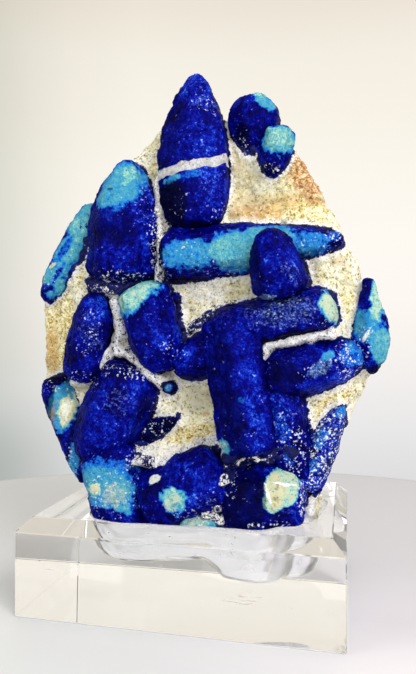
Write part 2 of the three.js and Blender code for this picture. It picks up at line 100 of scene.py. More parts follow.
# Each crystal: the CAD node it stands for, its material slot, foot and tip [x, y, z], half
# width, how far it stands proud and roots back, the two ends (share of length that tapers,
# width left, roundness), the turn of its faces, and the sharpness of its six edges.
BLUE, TURQUOISE, PALE = "blue_afghanite", "turquoise_afghanite", "pale_afghanite"
TALL = ([2.0, -17, 120.3], [1.7, -13.5, 171.8], 11.3, 10, 10,
        ((0.3, 0.55, 0.6), (0.66, 0.12, 0.8)), 0, 16)
CRYSTALS = {
    "tall_tip": ("top_crystal_tip", BLUE, *TALL),
    "tall_root": ("top_crystal_root", BLUE, *TALL),
    "cross": ("cross_crystal", TURQUOISE, [-8.8, -18, 112.2], [49, -16, 116], 8.9, 8, 6,
              ((0.06, 0.9, 0.5), (0.88, 0.2, 0.8)), 30, 12),
    "leaning": ("leaning_crystal", BLUE, [31.5, -23.5, 98], [27, -28, 118.3], 8.5, 7.5, 7,
                ((0.1, 0.9, 0.5), (0.78, 0.2, 0.7)), 30, 9),
    "upper_left": ("upper_left_crystal", BLUE, [-22.3, -19, 103], [-20.3, -17, 144.2], 12.3, 9.5, 9,
                   ((0.06, 0.9, 0.5), (0.6, 0.16, 0.8)), 22, 22),
    "left_edge": ("left_edge_crystal", PALE, [-52.6, -13, 98.4], [-32.3, -12.5, 131], 5.9, 5, 5,
                  ((0.5, 0.22, 0.7), (0.2, 0.7, 0.6)), 30, 14),
    "left_barrel": ("left_barrel_crystal", BLUE, [-35.8, -19, 71], [-30.3, -19, 101], 6.9, 8, 6,
                    ((0.22, 0.55, 0.5), (0.5, 0.25, 0.6)), 10, 12),
    "mint_cap": ("mint_cap_crystal", BLUE, [-7, -19, 75], [-14.9, -21, 103.5], 9, 9, 7,
                 ((0.42, 0.25, 0.5), (0.24, 0.68, 0.5)), 30, 11),
    "striated": ("central_cluster", BLUE, [21.2, -21, 49.6], [14.4, -21, 94], 8.9, 10, 9,
                 ((0.18, 0.62, 0.5), (0.12, 0.72, 0.5)), 0, 22),
    "frosted_arm": ("central_cluster", BLUE, [10, -19, 86.8], [46.9, -19.5, 95.6], 8.2, 8.5, 8,
                    ((0.1, 0.7, 0.5), (0.3, 0.52, 0.6)), 30, 14),
    "left_knob": ("central_cluster", BLUE, [11, -18, 84], [-3.4, -19, 75.4], 6.8, 8, 7,
                  ((0.1, 0.9, 0.5), (0.5, 0.25, 0.5)), 15, 10),
    "speckled": ("central_cluster", BLUE, [34.2, -14.6, 41.5], [28.5, -18, 73], 7.8, 7.5, 8,
                 ((0.3, 0.6, 0.5), (0.3, 0.5, 0.5)), 20, 10),
    "bullet": ("right_pair", BLUE, [24.2, -20, 73.2], [54.4, -16, 81.0], 8.7, 8.5, 7,
               ((0.34, 0.3, 0.55), (0.6, 0.36, 0.7)), 25, 14),
    "right_edge": ("right_pair", BLUE, [57.6, -13, 74.8], [56.4, -12.2, 104.2], 6.1, 5.5, 7,
                   ((0.46, 0.1, 0.9), (0.8, 0.26, 1.5)), 10, 14),
    "lower_right": ("lower_right_crystal", BLUE, [36.4, -14, 39], [48.4, -13, 65.4], 5.3, 6, 6,
                    ((0.12, 0.8, 0.5), (0.74, 0.12, 0.75)), 0, 7),
    "broad": ("lower_left_pair", BLUE, [-32.4, -20, 44.5], [-16.4, -19.5, 77.2], 11.2, 10, 8,
              ((0.5, 0.3, 0.5), (0.36, 0.45, 0.55)), 20, 14),
    "granular": ("lower_left_pair", BLUE, [-18.5, -20.5, 22], [-27, -19.5, 52], 10.6, 10, 8,
                 ((0.34, 0.6, 0.6), (0.2, 0.8, 0.5)), 30, 9),
    "left_rim": ("lower_left_pair", BLUE, [-36.5, -15, 37], [-48, -15, 73], 5.8, 5, 6,
                 ((0.62, 0.3, 0.8), (0.16, 0.6, 0.5)), 30, 9),
    "spindle": ("spindle_crystal", BLUE, [-21.5, -16.5, 51.6], [-3.4, -16.5, 59.8], 3.5, 3.4, 3,
                ((0.5, 0.15, 0.75), (0.62, 0.1, 0.9)), 0, 14),
    "lower_centre": ("lower_centre_crystal", BLUE, [-13.5, -21, 31.5], [13.8, -20, 44.2], 11, 9.5, 8,
                     ((0.12, 0.85, 0.5), (0.24, 0.66, 0.5)), 30, 10),
    "eye": ("eye_crystal", BLUE, [11, -18.5, 34], [38, -15.5, 36.5], 12.8, 12, 9,
            ((0.4, 0.4, 0.5), (0.45, 0.45, 0.5)), 30, 10),
    "foot": ("foot_crystal", TURQUOISE, [0.5, -24.5, 27], [12, -25, 28], 4.6, 5, 4,
             ((0.3, 0.5, 0.5), (0.3, 0.5, 0.5)), 30, 10),
    "upper_stub": ("top_right_pair", BLUE, [19.4, -11.5, 144.6], [21.8, -13, 164], 8.6, 6.5, 7,
                   ((0.62, 0.2, 1.0), (0.42, 0.36, 0.95)), 10, 24),
    "mint_stub": ("top_right_pair", BLUE, [26.4, -12.5, 137], [29.0, -14, 153], 5.6, 5.5, 6,
                  ((0.6, 0.25, 0.7), (0.2, 0.7, 0.5)), 25, 20),
    "bead": ("bead_crystal", TURQUOISE, [-6.2, -12, 69.7], [-6, -19.3, 69.7], 2.2, 2.2, 2.2,
             ((0.1, 1, 0.5), (0.3, 0.55, 0.5)), 0, 20),
    "knob": ("knob_crystal", BLUE, [-4.6, -12, 98.4], [-4.6, -19.6, 98.6], 1.9, 1.9, 1.9,
             ((0.1, 1, 0.5), (0.4, 0.4, 0.5)), 20, 16),
}
OUTWARD = ("bead", "knob")  # these two point straight out of the slab
THIN_EDGED = ("left_edge", "right_edge", "lower_right", "mint_stub")  # these get less of the painted shade on their flanks
CRISP = {"eye": (0.16, 0.06)}  # whose zones end more sharply: how ragged and how soft they are
SEATED_BELOW = 60  # crystals with their foot lower than this may reach into the trough

# Colour zones of each crystal, ellipses by kind: (x, z, half width, half height, strength, and
# a lean in degrees where there is one). pale runs from cyan over turquoise to mint, frost is a
# grey-blue bloom, one kind darkens, with darker blue and with painted shade on the shaded faces
# and the lower edges, fleck strews white grains, partly calcite and partly painted glints,
# another kind lightens the blue, with lighter blue and with painted light on the lit faces,
# cream and amber tint, snow whitens, and blue takes pale back.
ZONES = {
    "tall_tip": {
        "pale": [(3, 169, 3, 2.4, 0.22)],
        "frost": [(3, 168.5, 7, 4.5, 0.14), (5.5, 160, 5, 2.6, 0.3, -12)],
        "dusk": [(-5.5, 150, 5, 12, 0.42, -18)],
        "fleck": [(6, 160, 5, 2.8, 0.52, -12), (8.5, 155.5, 2.6, 3.2, 0.25), (8, 147, 4, 4, 0.15)],
        "lift": [(9, 151, 5, 14, 0.8, 4), (3, 166, 6, 6, 1)],
    },
    "tall_root": {
        "pale": [(-3.5, 135.6, 4.2, 1.2, 0.6, 10), (3.5, 136.6, 2.6, 1.8, 0.4, 14)],
        "frost": [(9, 134, 4, 5, 0.2)],
        "dusk": [(-4.5, 127, 6.6, 8, 1), (5, 120.5, 5, 2.4, 0.8)],
        "fleck": [(-1.5, 127, 5.5, 5, 0.3), (10, 126, 3, 4.5, 0.45)],
        "lift": [(8.5, 133, 5, 8, 1), (3, 136, 3, 3, 0.8)],
    },
    "cross": {
        "pale": [(3, 112, 10, 5, 0.6, 3), (17, 112.8, 10, 6.2, 0.76), (27, 115.3, 9, 5.4, 0.66, 4),
            (38, 114.6, 8, 4, 0.5, 6), (46, 117, 3, 2.2, 0.42, 20), (23, 117.5, 6, 2.4, 0.74)],
        "dusk": [(8, 103.6, 22, 1.9, 0.95, 2), (-8, 112, 2, 9, 0.85), (32, 110, 12, 1.2, 0.6, 12),
            (47, 119.4, 5, 1.4, 0.6)],
        "fleck": [(13, 109, 9, 3.2, 0.55), (4, 113, 6, 3, 0.45), (39, 113, 8, 3.5, 0.5),
            (46, 116.5, 3.5, 3, 0.8), (-7, 107, 3, 3.5, 0.8)],
        "blue": [(1, 119, 9, 2.2, 0.8, -2), (9, 117.4, 2.2, 2.4, 0.6)],
    },
    "leaning": {
        "frost": [(34.5, 105, 2.6, 4, 0.3, 30), (26.2, 97.9, 3.2, 0.8, 1, 3)],
        "dusk": [(24, 104, 3.4, 10, 0.5)],
        "lift": [(31, 109, 6, 5, 0.5, -40), (28, 113, 4, 4, 0.4)],
    },
    "upper_left": {
        "pale": [(-20.5, 135, 7.4, 8.4, 0.68, -12), (-18.3, 138.5, 3.0, 4, 0.86),
            (-24.4, 130.4, 4.8, 3.8, 0.66)],
        "dusk": [(-20, 104.6, 12, 2.6, 0.6), (-23, 121, 7, 6, 0.5), (-23.5, 133.2, 1.4, 0.7, 0.75)],
        "fleck": [(-12, 127, 3, 11, 0.42, 6), (-20, 105, 12, 2.4, 0.75), (-10.6, 116, 0.9, 14, 1)],
        "lift": [(-12.5, 126, 3.4, 13, 0.7, 4), (-16, 111, 9, 6, 0.35), (-25, 124.6, 3, 3, 0.6)],
    },
    "left_edge": {
        "pale": [(-36, 124.5, 6, 9, 0.76, -20), (-41.5, 115, 4.4, 7, 0.74, -35),
            (-47.5, 105.5, 5, 6, 0.74, -35)],
        "dusk": [(-40.5, 107.5, 1.0, 9, 0.8, -32)],
        "fleck": [(-48, 106, 5, 5, 0.4)],
        "lift": [(-38, 120, 3, 8, 1, -30)],
        "cream": [(-47.4, 110.4, 1.5, 0.7, 1, 30)],
        "blue": [(-43, 115.5, 1.3, 5, 0.5, -35), (-45.4, 107.5, 1.1, 4, 0.55, -35),
            (-50, 103, 3, 1.4, 0.6)],
    },
    "left_barrel": {
        "pale": [(-28.3, 98, 2.4, 2.2, 0.28)],
        "frost": [(-30.5, 88, 3.2, 6, 0.3, 15)],
        "dusk": [(-36.5, 82, 2, 12, 0.5, -10), (-30.5, 100.4, 4, 1.4, 0.5)],
        "fleck": [(-30, 90, 3.4, 5, 0.5, 15), (-31.5, 84, 3.2, 4.2, 0.36, 15), (-33, 73, 5, 2.6, 0.5)],
        "lift": [(-27.5, 95.5, 4.5, 5.5, 1, -10)],
    },
    "mint_cap": {
        "pale": [(-14.6, 99.4, 7.8, 5, 0.92, 38)],
        "dusk": [(-18.6, 99.5, 0.9, 6, 0.55, 8), (-12, 84, 4.5, 6, 0.35, -20), (-8, 103.8, 3, 1, 0.6)],
        "fleck": [(-3.5, 82.5, 3, 3.4, 0.55)],
        "lift": [(-4, 86, 4.4, 5, 0.7), (-3, 92, 2.6, 6, 0.5, -10)],
        "cream": [(-14.8, 99.6, 3.6, 2.6, 0.22, 20)],
    },
    "striated": {
        "pale": [(19.8, 67.7, 1.1, 1.1, 0.36), (13.4, 53.0, 2.8, 2.4, 0.8)],
        "dusk": [(13, 76, 5, 16, 0.5, 4), (17, 60, 4.6, 11, 0.6, 8), (18, 52, 5, 4, 0.4)],
        "fleck": [(22, 56, 3, 4, 0.3)],
        "lift": [(23.5, 68, 2.8, 20, 0.8, 8), (25, 58, 3, 7, 0.5)],
        "snow": [(13.2, 53.2, 2.0, 1.6, 0.4)],
    },
    "frosted_arm": {
        "pale": [(45.0, 95.2, 2.6, 5.4, 1, 24), (46.8, 93.6, 2.2, 4.4, 1, 22)],
        "frost": [(33, 93.8, 10, 5, 0.42, 8), (24, 92.5, 5, 4, 0.3, 8), (45.8, 94.6, 3, 5.4, 0.25, 24),
            (26.2, 98.9, 3.2, 0.8, 1, 3)],
        "dusk": [(34, 85.8, 12, 1.8, 0.9, 8), (15, 90, 5, 4, 0.25)],
        "fleck": [(31, 93.6, 9, 4, 0.22, 8), (42, 90, 2, 5, 0.35, 20)],
        "lift": [(40, 96, 2.4, 4, 0.7, 20)],
        "cream": [(45.8, 94.6, 2.6, 5, 0.5, 24)],
    },
    "left_knob": {
        "dusk": [(1, 73.6, 6, 1.4, 0.7)],
        "fleck": [(0, 81.4, 3.4, 2.4, 0.42)],
        "lift": [(1, 80.5, 3.5, 3, 1)],
    },
    "speckled": {
        "pale": [(31, 60, 3, 6, 0.3, 10), (33, 50, 2.4, 4, 0.3)],
        "frost": [(29, 62, 8, 9, 0.12)],
        "dusk": [(23.5, 51, 4, 4, 0.8), (26, 58, 2, 12, 0.3)],
        "fleck": [(31, 56, 6, 9, 0.46), (34.6, 52, 3.6, 8, 0.85)],
        "lift": [(28, 62, 6, 10, 1)],
    },
    "bullet": {
        "pale": [(41.5, 77.2, 5, 1.0, 0.34, 38), (44.6, 80.6, 2.4, 1.4, 0.62, 36),
            (51.4, 81, 4.2, 4.4, 0.44, 20)],
        "frost": [(42, 77.0, 5, 1.9, 0.75, 38)],
        "dusk": [(32, 75, 6, 5, 0.6), (35, 67.0, 9, 1.3, 0.6, 10)],
        "fleck": [(40, 76.4, 6, 2, 0.4, 38), (50, 79, 4, 6, 0.85, 20)],
        "lift": [(43.5, 72.5, 7, 2.4, 0.9, 12), (49, 77, 4, 6, 1)],
    },
    "right_edge": {
        "pale": [(58.6, 96.5, 2.6, 9, 0.95, -6), (56, 90, 5, 5.5, 0.62), (60, 83.6, 3.6, 6.4, 0.74, 8)],
        "dusk": [(58, 75.6, 5, 1.6, 0.8, 35)],
        "fleck": [(54.2, 83, 3.6, 7, 0.85, -20)],
        "lift": [(55, 84, 4, 8, 0.8)],
        "cream": [(59, 97, 1.4, 7, 0.24, -6)],
        "snow": [(55.6, 86.7, 0.6, 2.4, 0.7, -25)],
        "blue": [(55.0, 100.2, 1.5, 4.4, 1), (55.6, 96.2, 2.0, 1.3, 0.9),
            (54.6, 79.6, 2.4, 4, 0.7, -20)],
    },
    "lower_right": {
        "pale": [(42, 55, 2.0, 4, 0.46, -24), (40, 47, 2.2, 3.6, 0.46, -24),
            (48.6, 63.5, 2.4, 3, 0.5, -24)],
        "frost": [(42, 52, 7, 16, 0.4, -24)],
        "dusk": [(37.5, 49, 2.4, 7, 0.7, -24), (44.6, 48, 1.2, 3, 0.7, -24)],
        "fleck": [(41, 50, 7, 15, 1, -24)],
        "lift": [(42, 50, 9, 18, 1, -24)],
    },
    "broad": {
        "pale": [(-28.5, 46, 5, 3, 0.4), (-17, 46, 8, 2.4, 0.34)],
        "frost": [(-19, 66, 6, 5, 0.25)],
        "dusk": [(-20, 75.8, 10, 2.6, 0.6, -8), (-14, 60, 2.2, 7, 0.5, -20)],
        "fleck": [(-20, 75.4, 9, 2.2, 0.75, -8), (-31, 71, 3.5, 4, 0.5, 20)],
        "lift": [(-22, 61, 9, 8, 0.5), (-16, 69, 4, 6, 0.5)],
    },
    "granular": {
        "pale": [(-24, 39.5, 9.4, 8, 0.66, -8), (-28.4, 44, 4.4, 3.4, 0.46), (-18, 36, 6, 5, 0.74),
            (-22, 46, 7, 3, 0.4, -8), (-26.8, 38.8, 2.6, 2.6, 0.9)],
        "frost": [(-21.5, 36.5, 7, 5, 0.3)],
        "dusk": [(-13.5, 46, 3.4, 3.4, 0.6)],
        "fleck": [(-22, 38, 9, 8, 0.6), (-14, 47.5, 5, 3, 0.8)],
        "cream": [(-26.8, 38.8, 1.9, 1.9, 1), (-20.6, 37, 4, 4, 0.5, -30)],
        "blue": [(-23, 31, 9, 2, 0.8, -8), (-13.4, 37, 2, 6, 0.6, -10)],
    },
    "left_rim": {
        "pale": [(-43.0, 63, 4.8, 9.4, 0.66, -14), (-41.6, 61.8, 2.9, 6, 0.97, -10),
            (-38.4, 46, 2.4, 8, 0.56, -16)],
        "frost": [(-38.5, 46, 3, 9, 0.3, -16)],
        "dusk": [(-47.8, 62, 1.5, 9, 0.75, -14), (-41.4, 47, 1.2, 9, 0.6, -16), (-45, 72, 5, 2, 0.8)],
        "fleck": [(-45, 70, 5, 3, 0.6), (-39, 47, 4, 9, 0.6, -16)],
        "cream": [(-41.6, 61.8, 2.5, 5.4, 0.9, -10)],
        "amber": [(-47.6, 56, 1.4, 8, 0.8, -16)],
        "snow": [(-41.6, 61.8, 2.0, 4.6, 0.55, -10)],
    },
    "spindle": {
        "dusk": [(-12, 55, 10, 4, 0.8, 23)],
        "fleck": [(-12, 55.5, 9, 3, 0.62, 23)],
        "lift": [(-15, 55, 3, 1.6, 0.8, 23)],
    },
    "lower_centre": {
        "pale": [(-1.2, 36.8, 3.9, 4, 0.86), (13.6, 52.6, 2.2, 2, 0.7)],
        "frost": [(-1.2, 36.8, 4.2, 4.4, 0.22), (8, 37, 4, 3, 0.25)],
        "dusk": [(-6, 43, 6, 4, 0.4, 20)],
        "fleck": [(3, 33, 5, 2.2, 0.55), (9, 40, 3, 5, 0.35)],
        "lift": [(4, 43, 8, 5, 0.45, 20), (7, 37, 4, 3.5, 0.8)],
        "cream": [(-1.6, 36.2, 2.6, 2.8, 0.5, 20)],
        "snow": [(-8.0, 42.2, 1.9, 1.2, 1, 28)],
    },
    "eye": {
        "pale": [(31.0, 41.2, 5.2, 5.4, 0.97), (28.8, 37.6, 3.1, 3.4, 0.97)],
        "frost": [(30.6, 40.4, 6.4, 6.4, 0.2, 10)],
        "dusk": [(20, 38, 7, 9, 0.7), (31, 33, 6, 1.6, 0.4)],
        "fleck": [(27.5, 30.8, 7, 1.4, 0.8, 6), (37.6, 40, 2.2, 8, 1.05), (16, 41, 2, 4, 0.5)],
        "lift": [(27, 47, 7, 2, 0.8), (36.6, 38, 3, 7, 0.9)],
        "cream": [(29.2, 40.6, 2.8, 5, 0.75, 8), (32.6, 42.0, 3.4, 4.2, 0.5)],
        "amber": [(30.0, 42.4, 0.5, 1.3, 1, 6), (29.4, 38.8, 0.9, 0.5, 1, 30), (29, 36, 0.7, 1.4, 0.7)],
        "snow": [(32, 42.6, 3.4, 0.35, 1, -8), (27.2, 40, 0.5, 3, 0.8, 20)],
    },
    "foot": {
        "pale": [(5, 31, 9, 4, 0.78)],
        "frost": [(8, 29, 4, 2, 0.3)],
        "fleck": [(10, 31, 5, 3, 0.8)],
        "cream": [(5, 30, 4, 2, 0.5)],
    },
    "upper_stub": {
        "pale": [(24.8, 159.6, 4.6, 2.0, 0.72, -38), (23, 162.4, 3, 1.4, 0.84, -20)],
        "dusk": [(17, 150, 3.6, 4.6, 0.7, 35)],
        "fleck": [(17.6, 148.6, 2.2, 4.0, 0.7, 35)],
        "lift": [(24, 154, 3, 2.5, 0.5)],
    },
    "mint_stub": {
        "pale": [(29.2, 147.6, 5.4, 4.4, 0.86)],
        "dusk": [(26.3, 139, 4, 1.6, 0.7)],
        "fleck": [(26.5, 139, 3.6, 2, 0.7)],
        "cream": [(28.8, 147.8, 3, 2.2, 0.3)],
    },
    "bead": {
        "pale": [(-6, 69.7, 1.5, 1.6, 0.5)],
        "frost": [(-6, 69.7, 1.6, 1.6, 0.5)],
    },
    "knob": {
        "lift": [(-4.6, 98.6, 1.2, 1.2, 0.4)],
    },
}

# Stains of the marble, written as the zones are: amber and rust are iron's, grey and snow turn
# it greyer and whiter, and the dark kind strews dark blue grains over its front; the same layer
# also carries painted contact shade along the crystals.
STAINS = {
    "amber": [(8, 101, 12, 5.5, 0.35), (-3, 100, 6, 4, 0.4), (1, 53.5, 10, 4.5, 0.8, 20),
        (-13, 135, 5, 14, 0.7, -12), (-48, 88, 8, 16, 1), (-36, 112, 3, 7, 0.8, -30),
        (30, 137, 5, 6, 0.6, 30), (30, 126.5, 14, 5.5, 1, -6), (16, 134, 6, 9, 0.6),
        (46, 104, 9, 8, 0.25), (51, 96, 4, 8, 0.5), (45, 66, 7, 3.5, 0.75, 40),
        (7, 66.5, 3.4, 2.6, 0.5), (39.5, 34, 3, 4, 0.3), (-45, 93, 6, 9, 0.35)],
    "rust": [(24, 128, 14, 4, 0.55), (-51, 80, 4, 11, 0.7), (-32.5, 108, 1.4, 1.6, 1),
        (-34.5, 118, 2.4, 1.6, 0.7), (37.5, 135.5, 4.8, 9.5, 1.1, 30), (12.6, 150.5, 2, 5, 0.75),
        (22, 125.5, 9, 4, 0.75), (33, 129, 5, 4, 0.6), (15, 143, 3, 6, 0.5, 10),
        (45, 99.6, 2.2, 1.6, 0.75, -20), (47.5, 110, 3.4, 2.4, 0.5), (5.6, 61.5, 1.2, 1, 0.7),
        (4.5, 68, 1.4, 1.2, 0.5)],
    "grey": [(2.5, 66, 7, 4.5, 0.75), (-12, 141, 2.6, 16, 0.2), (-22, 83, 4.5, 10, 0.5, -10),
        (-11, 122, 2, 8, 0.5), (22, 139, 10, 12, 0.8)],
    "snow": [(40, 37, 4, 4, 0.8), (26, 82, 9, 3, 0.5, 10), (-12, 49, 12, 2.6, 0.8),
        (5, 101, 8, 4, 0.7)],
    "soot": [(-14, 54.4, 7, 3.4, 0.8, 20), (-3.4, 60.6, 1.3, 1.5, 1), (-16, 49, 4, 2, 0.7),
        (12, 96, 7, 1.6, 0.5, 10)],
}

# Calcite that fills the gaps between crystals: a path of [x, z], how far forward (y) it
# reaches, the half width of its top (below 0, a ridge that stays lower), and how strongly dark
# grains are strewn over it. Where two meet, the later one says how dark it is.
DARK_FILL = 0.7  # from here on a fill has no violet tint and keeps the painted contact shade along the crystals
FILLS = (
    ([[-23.6, 97.5], [-21.8, 87.5], [-25.7, 79.9], [-31.3, 73.2], [-38, 71.8]], -21.5, 1.3, 0.4),
    ([[-23, 82], [-19.1, 81], [-14.6, 77.2], [-9.6, 72.6]], -23.5, 1.0, 0.46),
    ([[-32, 103.2], [-25.7, 102.3], [-21, 102], [-18, 104]], -22.5, 1.5, 0.75),
    ([[-8.6, 118], [-8.2, 110], [-8.9, 103]], -21.5, 0.8, 0.5),
    ([[-9.3, 139], [-9.4, 128], [-9, 120]], -19.0, 0.8, 0.36),
    ([[-23, 51.8], [-18, 49.4], [-13.6, 47], [-8, 45]], -23.5, 1.5, 0.66),
    ([[-8, 45.4], [0, 50.2], [8, 53.6]], -16.5, 0.8, 0.4),
    ([[-16.5, 46.0], [-14.0, 46.8]], -27.4, -0.5, 0.3),
    ([[24, 80.6], [26, 82.4], [29, 84.3], [35.7, 85.5], [45, 87.3]], -24.5, 1.0, 0.34),
    ([[25.5, 67.6], [29, 65], [34.5, 64]], -22.5, 0.4, 0.3),
    ([[14, 48.8], [20, 50.6], [28, 51.2], [33, 51.4]], -23.2, 1.8, 1.0),
    ([[18.0, 47.7], [18.9, 48.9]], -27.0, -0.2, 0.3),
    ([[18.9, 48.9], [20.1, 50.0], [22.4, 49.9], [23.9, 49.2], [27.2, 49.3]], -26.6, -0.6, 0.3),
    ([[13.7, 42.4], [11.6, 40.5], [10.2, 36.5], [11.2, 34.1]], -28.0, 0.8, 0.6),
    ([[7.8, 32], [10, 31.8], [13.4, 30.6]], -28.0, 0.5, 0.5),
    ([[31, 30.6], [35, 31], [39, 33.5]], -22.5, 1.4, 0.2),
    ([[-1.0, 87.1], [1.6, 89.4], [4.5, 91.6], [8.4, 93.8]], -14.0, 0.9, 0.75),
)


# ---- Numbers: easing and noise
# A pattern is called with places, its size in millimetres and its seed. What it is multiplied
# by is its strength, in millimetres where it moves a surface.

def ease(low, high, value):
    """0 below low, 1 above high, and the cubic 3s^2 - 2s^3 between."""
    s = np.clip((value - low) / (high - low), 0, 1)
    return s * s * (3 - 2 * s)


SEED_FACTOR, AXIS_FACTORS = 3266489917, (374761393, 668265263, 2246822519)
STIRS, LAST_SHIFT = ((13, 1274126177), (15, 2654435761)), 16


def drawn(cells, seed):
    """An even random number in 0..1 for each whole-number cell: its three indices and the seed
    times large primes, added up, then shifted, crossed and multiplied twice."""
    mixed = np.full(cells.shape[:-1], (seed * SEED_FACTOR) % 2**32, np.uint32)
    for axis, factor in enumerate(AXIS_FACTORS):
        mixed += cells[..., axis].astype(np.uint32) * np.uint32(factor)
    for shift, factor in STIRS:
        mixed = (mixed ^ (mixed >> shift)) * np.uint32(factor)
    return (mixed ^ (mixed >> LAST_SHIFT)) / (2.0**32 - 1)


def noise(p, size, seed):
    """Smooth noise in -1..1: random values at the corners of cubes `size` wide, blended by cubics."""
    q = p / size
    cell = np.floor(q).astype(np.int64)
    f = q - cell
    f = f * f * (3 - 2 * f)
    total = 0
    for corner in range(8):
        offset = np.array([corner & 1, corner >> 1 & 1, corner >> 2])
        weight = np.prod(np.where(offset, f, 1 - f), axis=-1)
        total = total + weight * drawn(cell + offset, seed)
    return 2 * total - 1


TURN = np.array(Euler((0.7, 0.4, 1.1)).to_matrix())


def rough(p, size, seed, octaves=3, gain=0.5):
    """A sum of noises, each half the size of the one before, turned, and `gain` as strong."""
    total, share, weight = 0, 0, 1
    for octave in range(octaves):
        total = total + weight * noise(p, size, seed + octave)
        share += weight
        p, size, weight = p @ TURN, size / 2, weight * gain
    return total / share


def chips(p, size, seed):
    """Flat broken facets: each point takes the tilted plane of its nearest of the random points,
    one to a cube `size` wide. Returns the plane's height in -1..1."""
    cell = np.floor(p / size).astype(np.int64)
    best = np.full(p.shape[:-1], 1e9)
    height = np.zeros(p.shape[:-1])
    for i in range(27):
        here = cell + np.array([i % 3, i // 3 % 3, i // 9]) - 1
        spot = np.stack([drawn(here, seed + k) for k in range(3)], -1)
        away = p / size - here - spot
        far = (away**2).sum(-1)
        lean = np.stack([drawn(here, seed + 3 + k) for k in range(3)], -1) - 0.5
        plane = 0.8 * (drawn(here, seed + 7) - 0.5) + 1.6 * (away * lean).sum(-1)
        nearer = far < best
        best = np.where(nearer, far, best)
        height = np.where(nearer, plane, height)
    return height


def zone(p, spots, kind, seed, ragged=0.42, soft=0.3):
    """How strongly each point lies in the ellipses of one kind, seen along the depth: full
    inside, eased out over `soft`, with an edge that noise makes ragged."""
    total = np.zeros(p.shape[:-1])
    wobble = ragged * (rough(p, 3.2, seed) + 0.6 * noise(p, 0.9, seed + 9)) if kind in spots else 0
    for x, z, wide, high, strength, *lean in spots.get(kind, ()):
        c, s = math.cos(math.radians(sum(lean))), math.sin(math.radians(sum(lean)))
        dx, dz = p[..., 0] - x, p[..., 2] - z
        reach = np.hypot((c * dx + s * dz) / wide, (c * dz - s * dx) / high)
        reach = reach + wobble * min(1, 3.6 / min(wide, high))
        total = np.maximum(total, strength * (1 - ease(1 - soft, 1 + soft, reach)))
    return total


# ---- Meshes

def outward(grid):
    """Unit normals of a tube of rings [ring, around, 3], from the differences of neighbours."""
    around = np.roll(grid, -1, 1) - np.roll(grid, 1, 1)
    along = np.gradient(grid, axis=0)
    normal = np.cross(around, along)
    normal /= np.linalg.norm(normal, axis=-1, keepdims=True) + 1e-12
    middle = grid.mean(axis=(0, 1))
    return normal * np.sign(((grid - middle) * normal).sum() + 1e-12)


def placed(name, data):
    """A new object of the scene that holds the data."""
    made = bpy.data.objects.new(name, data)
    bpy.context.scene.collection.objects.link(made)
    return made


def closed_mesh(name, grid, ends, layers, material, smooth=None):
    """One mesh of a tube of rings [ring, around, 3] in millimetres, closed at each end by a fan
    to that end's middle point, with its faces turned outwards and one value a point in layers.
    smooth says which bands of faces are shaded smooth; without it, all are."""
    rings, around = grid.shape[:2]
    points = np.concatenate([grid.reshape(-1, 3), np.asarray(ends, float)])
    r, a = np.meshgrid(np.arange(rings - 1), np.arange(around), indexing="ij")
    b = (a + 1) % around
    quads = np.stack([r * around + a, r * around + b, (r + 1) * around + b, (r + 1) * around + a], -1)
    quads = quads.reshape(-1, 4)
    k = np.arange(around)
    last = (rings - 1) * around
    first_fan = np.stack([(k + 1) % around, k, np.full(around, rings * around)], -1)
    last_fan = np.stack([last + k, last + (k + 1) % around, np.full(around, rings * around + 1)], -1)
    p0, p1, p2, p3 = (points[quads[:, i]] for i in range(4))
    volume = (np.cross(p2 - p0, p3 - p1) * p0).sum()
    corners = [quads, first_fan, last_fan]
    u = np.stack([a, a + 1, a + 1, a], -1).reshape(-1, 4) / around
    v = (0.5 + np.stack([r, r, r + 1, r + 1], -1).reshape(-1, 4)) / (rings + 1)
    fan_u = np.stack([k + 1, k, k + 0.5], -1) / around
    maps = [
        np.stack([u, v], -1),
        np.stack([fan_u, np.broadcast_to([0.5, 0.5, 0], fan_u.shape) / (rings + 1)], -1),
        np.stack([fan_u[:, [1, 0, 2]],
                  1 - np.broadcast_to([1.5, 1.5, 0], fan_u.shape) / (rings + 1)], -1),
    ]
    if volume < 0:
        corners = [c[:, ::-1] for c in corners]
        maps = [m[:, ::-1] for m in maps]
    mesh = bpy.data.meshes.new(name)
    mesh.vertices.add(len(points))
    mesh.vertices.foreach_set("co", (points * MM).astype(np.float32).ravel())
    sizes = np.concatenate([np.full(len(c), c.shape[1]) for c in corners])
    loops = np.concatenate([c.ravel() for c in corners])
    mesh.loops.add(len(loops))
    mesh.loops.foreach_set("vertex_index", loops.astype(np.int32))
    mesh.polygons.add(len(sizes))
    starts = np.concatenate([[0], np.cumsum(sizes)[:-1]])
    mesh.polygons.foreach_set("loop_start", starts.astype(np.int32))
    flags = np.ones(len(sizes), bool)
    if smooth is not None:
        flags[: len(quads)] = np.repeat(smooth, around)
        flags[len(quads):] = np.repeat([smooth[0], smooth[-1]], around)
    mesh.polygons.foreach_set("use_smooth", flags)
    mesh.update(calc_edges=True)
    places = np.concatenate([m.reshape(-1, 2) for m in maps])
    mesh.uv_layers.new(name="OFBake").uv.foreach_set("vector", places.astype(np.float32).ravel())
    for layer, values in layers.items():
        values = np.append(values.ravel(), [values[0].mean(), values[-1].mean()])
        attribute = mesh.attributes.new(layer, "FLOAT", "POINT")
        attribute.data.foreach_set("value", values.astype(np.float32))
    mesh.validate()
    mesh.materials.append(material)
    return placed(name, mesh)


def closed_piece(name, grid, layers, material, node, ends=None, smooth=None):
    """A closed mesh that stands for one CAD node or a share of it, closed at the middles of its
    first and last rings unless ends says otherwise."""
    if ends is None:
        ends = [grid[0].mean(0), grid[-1].mean(0)]
    piece = closed_mesh(name, grid, ends, layers, material, smooth)
    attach(piece, "root")
    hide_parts(node)


# ---- The trough

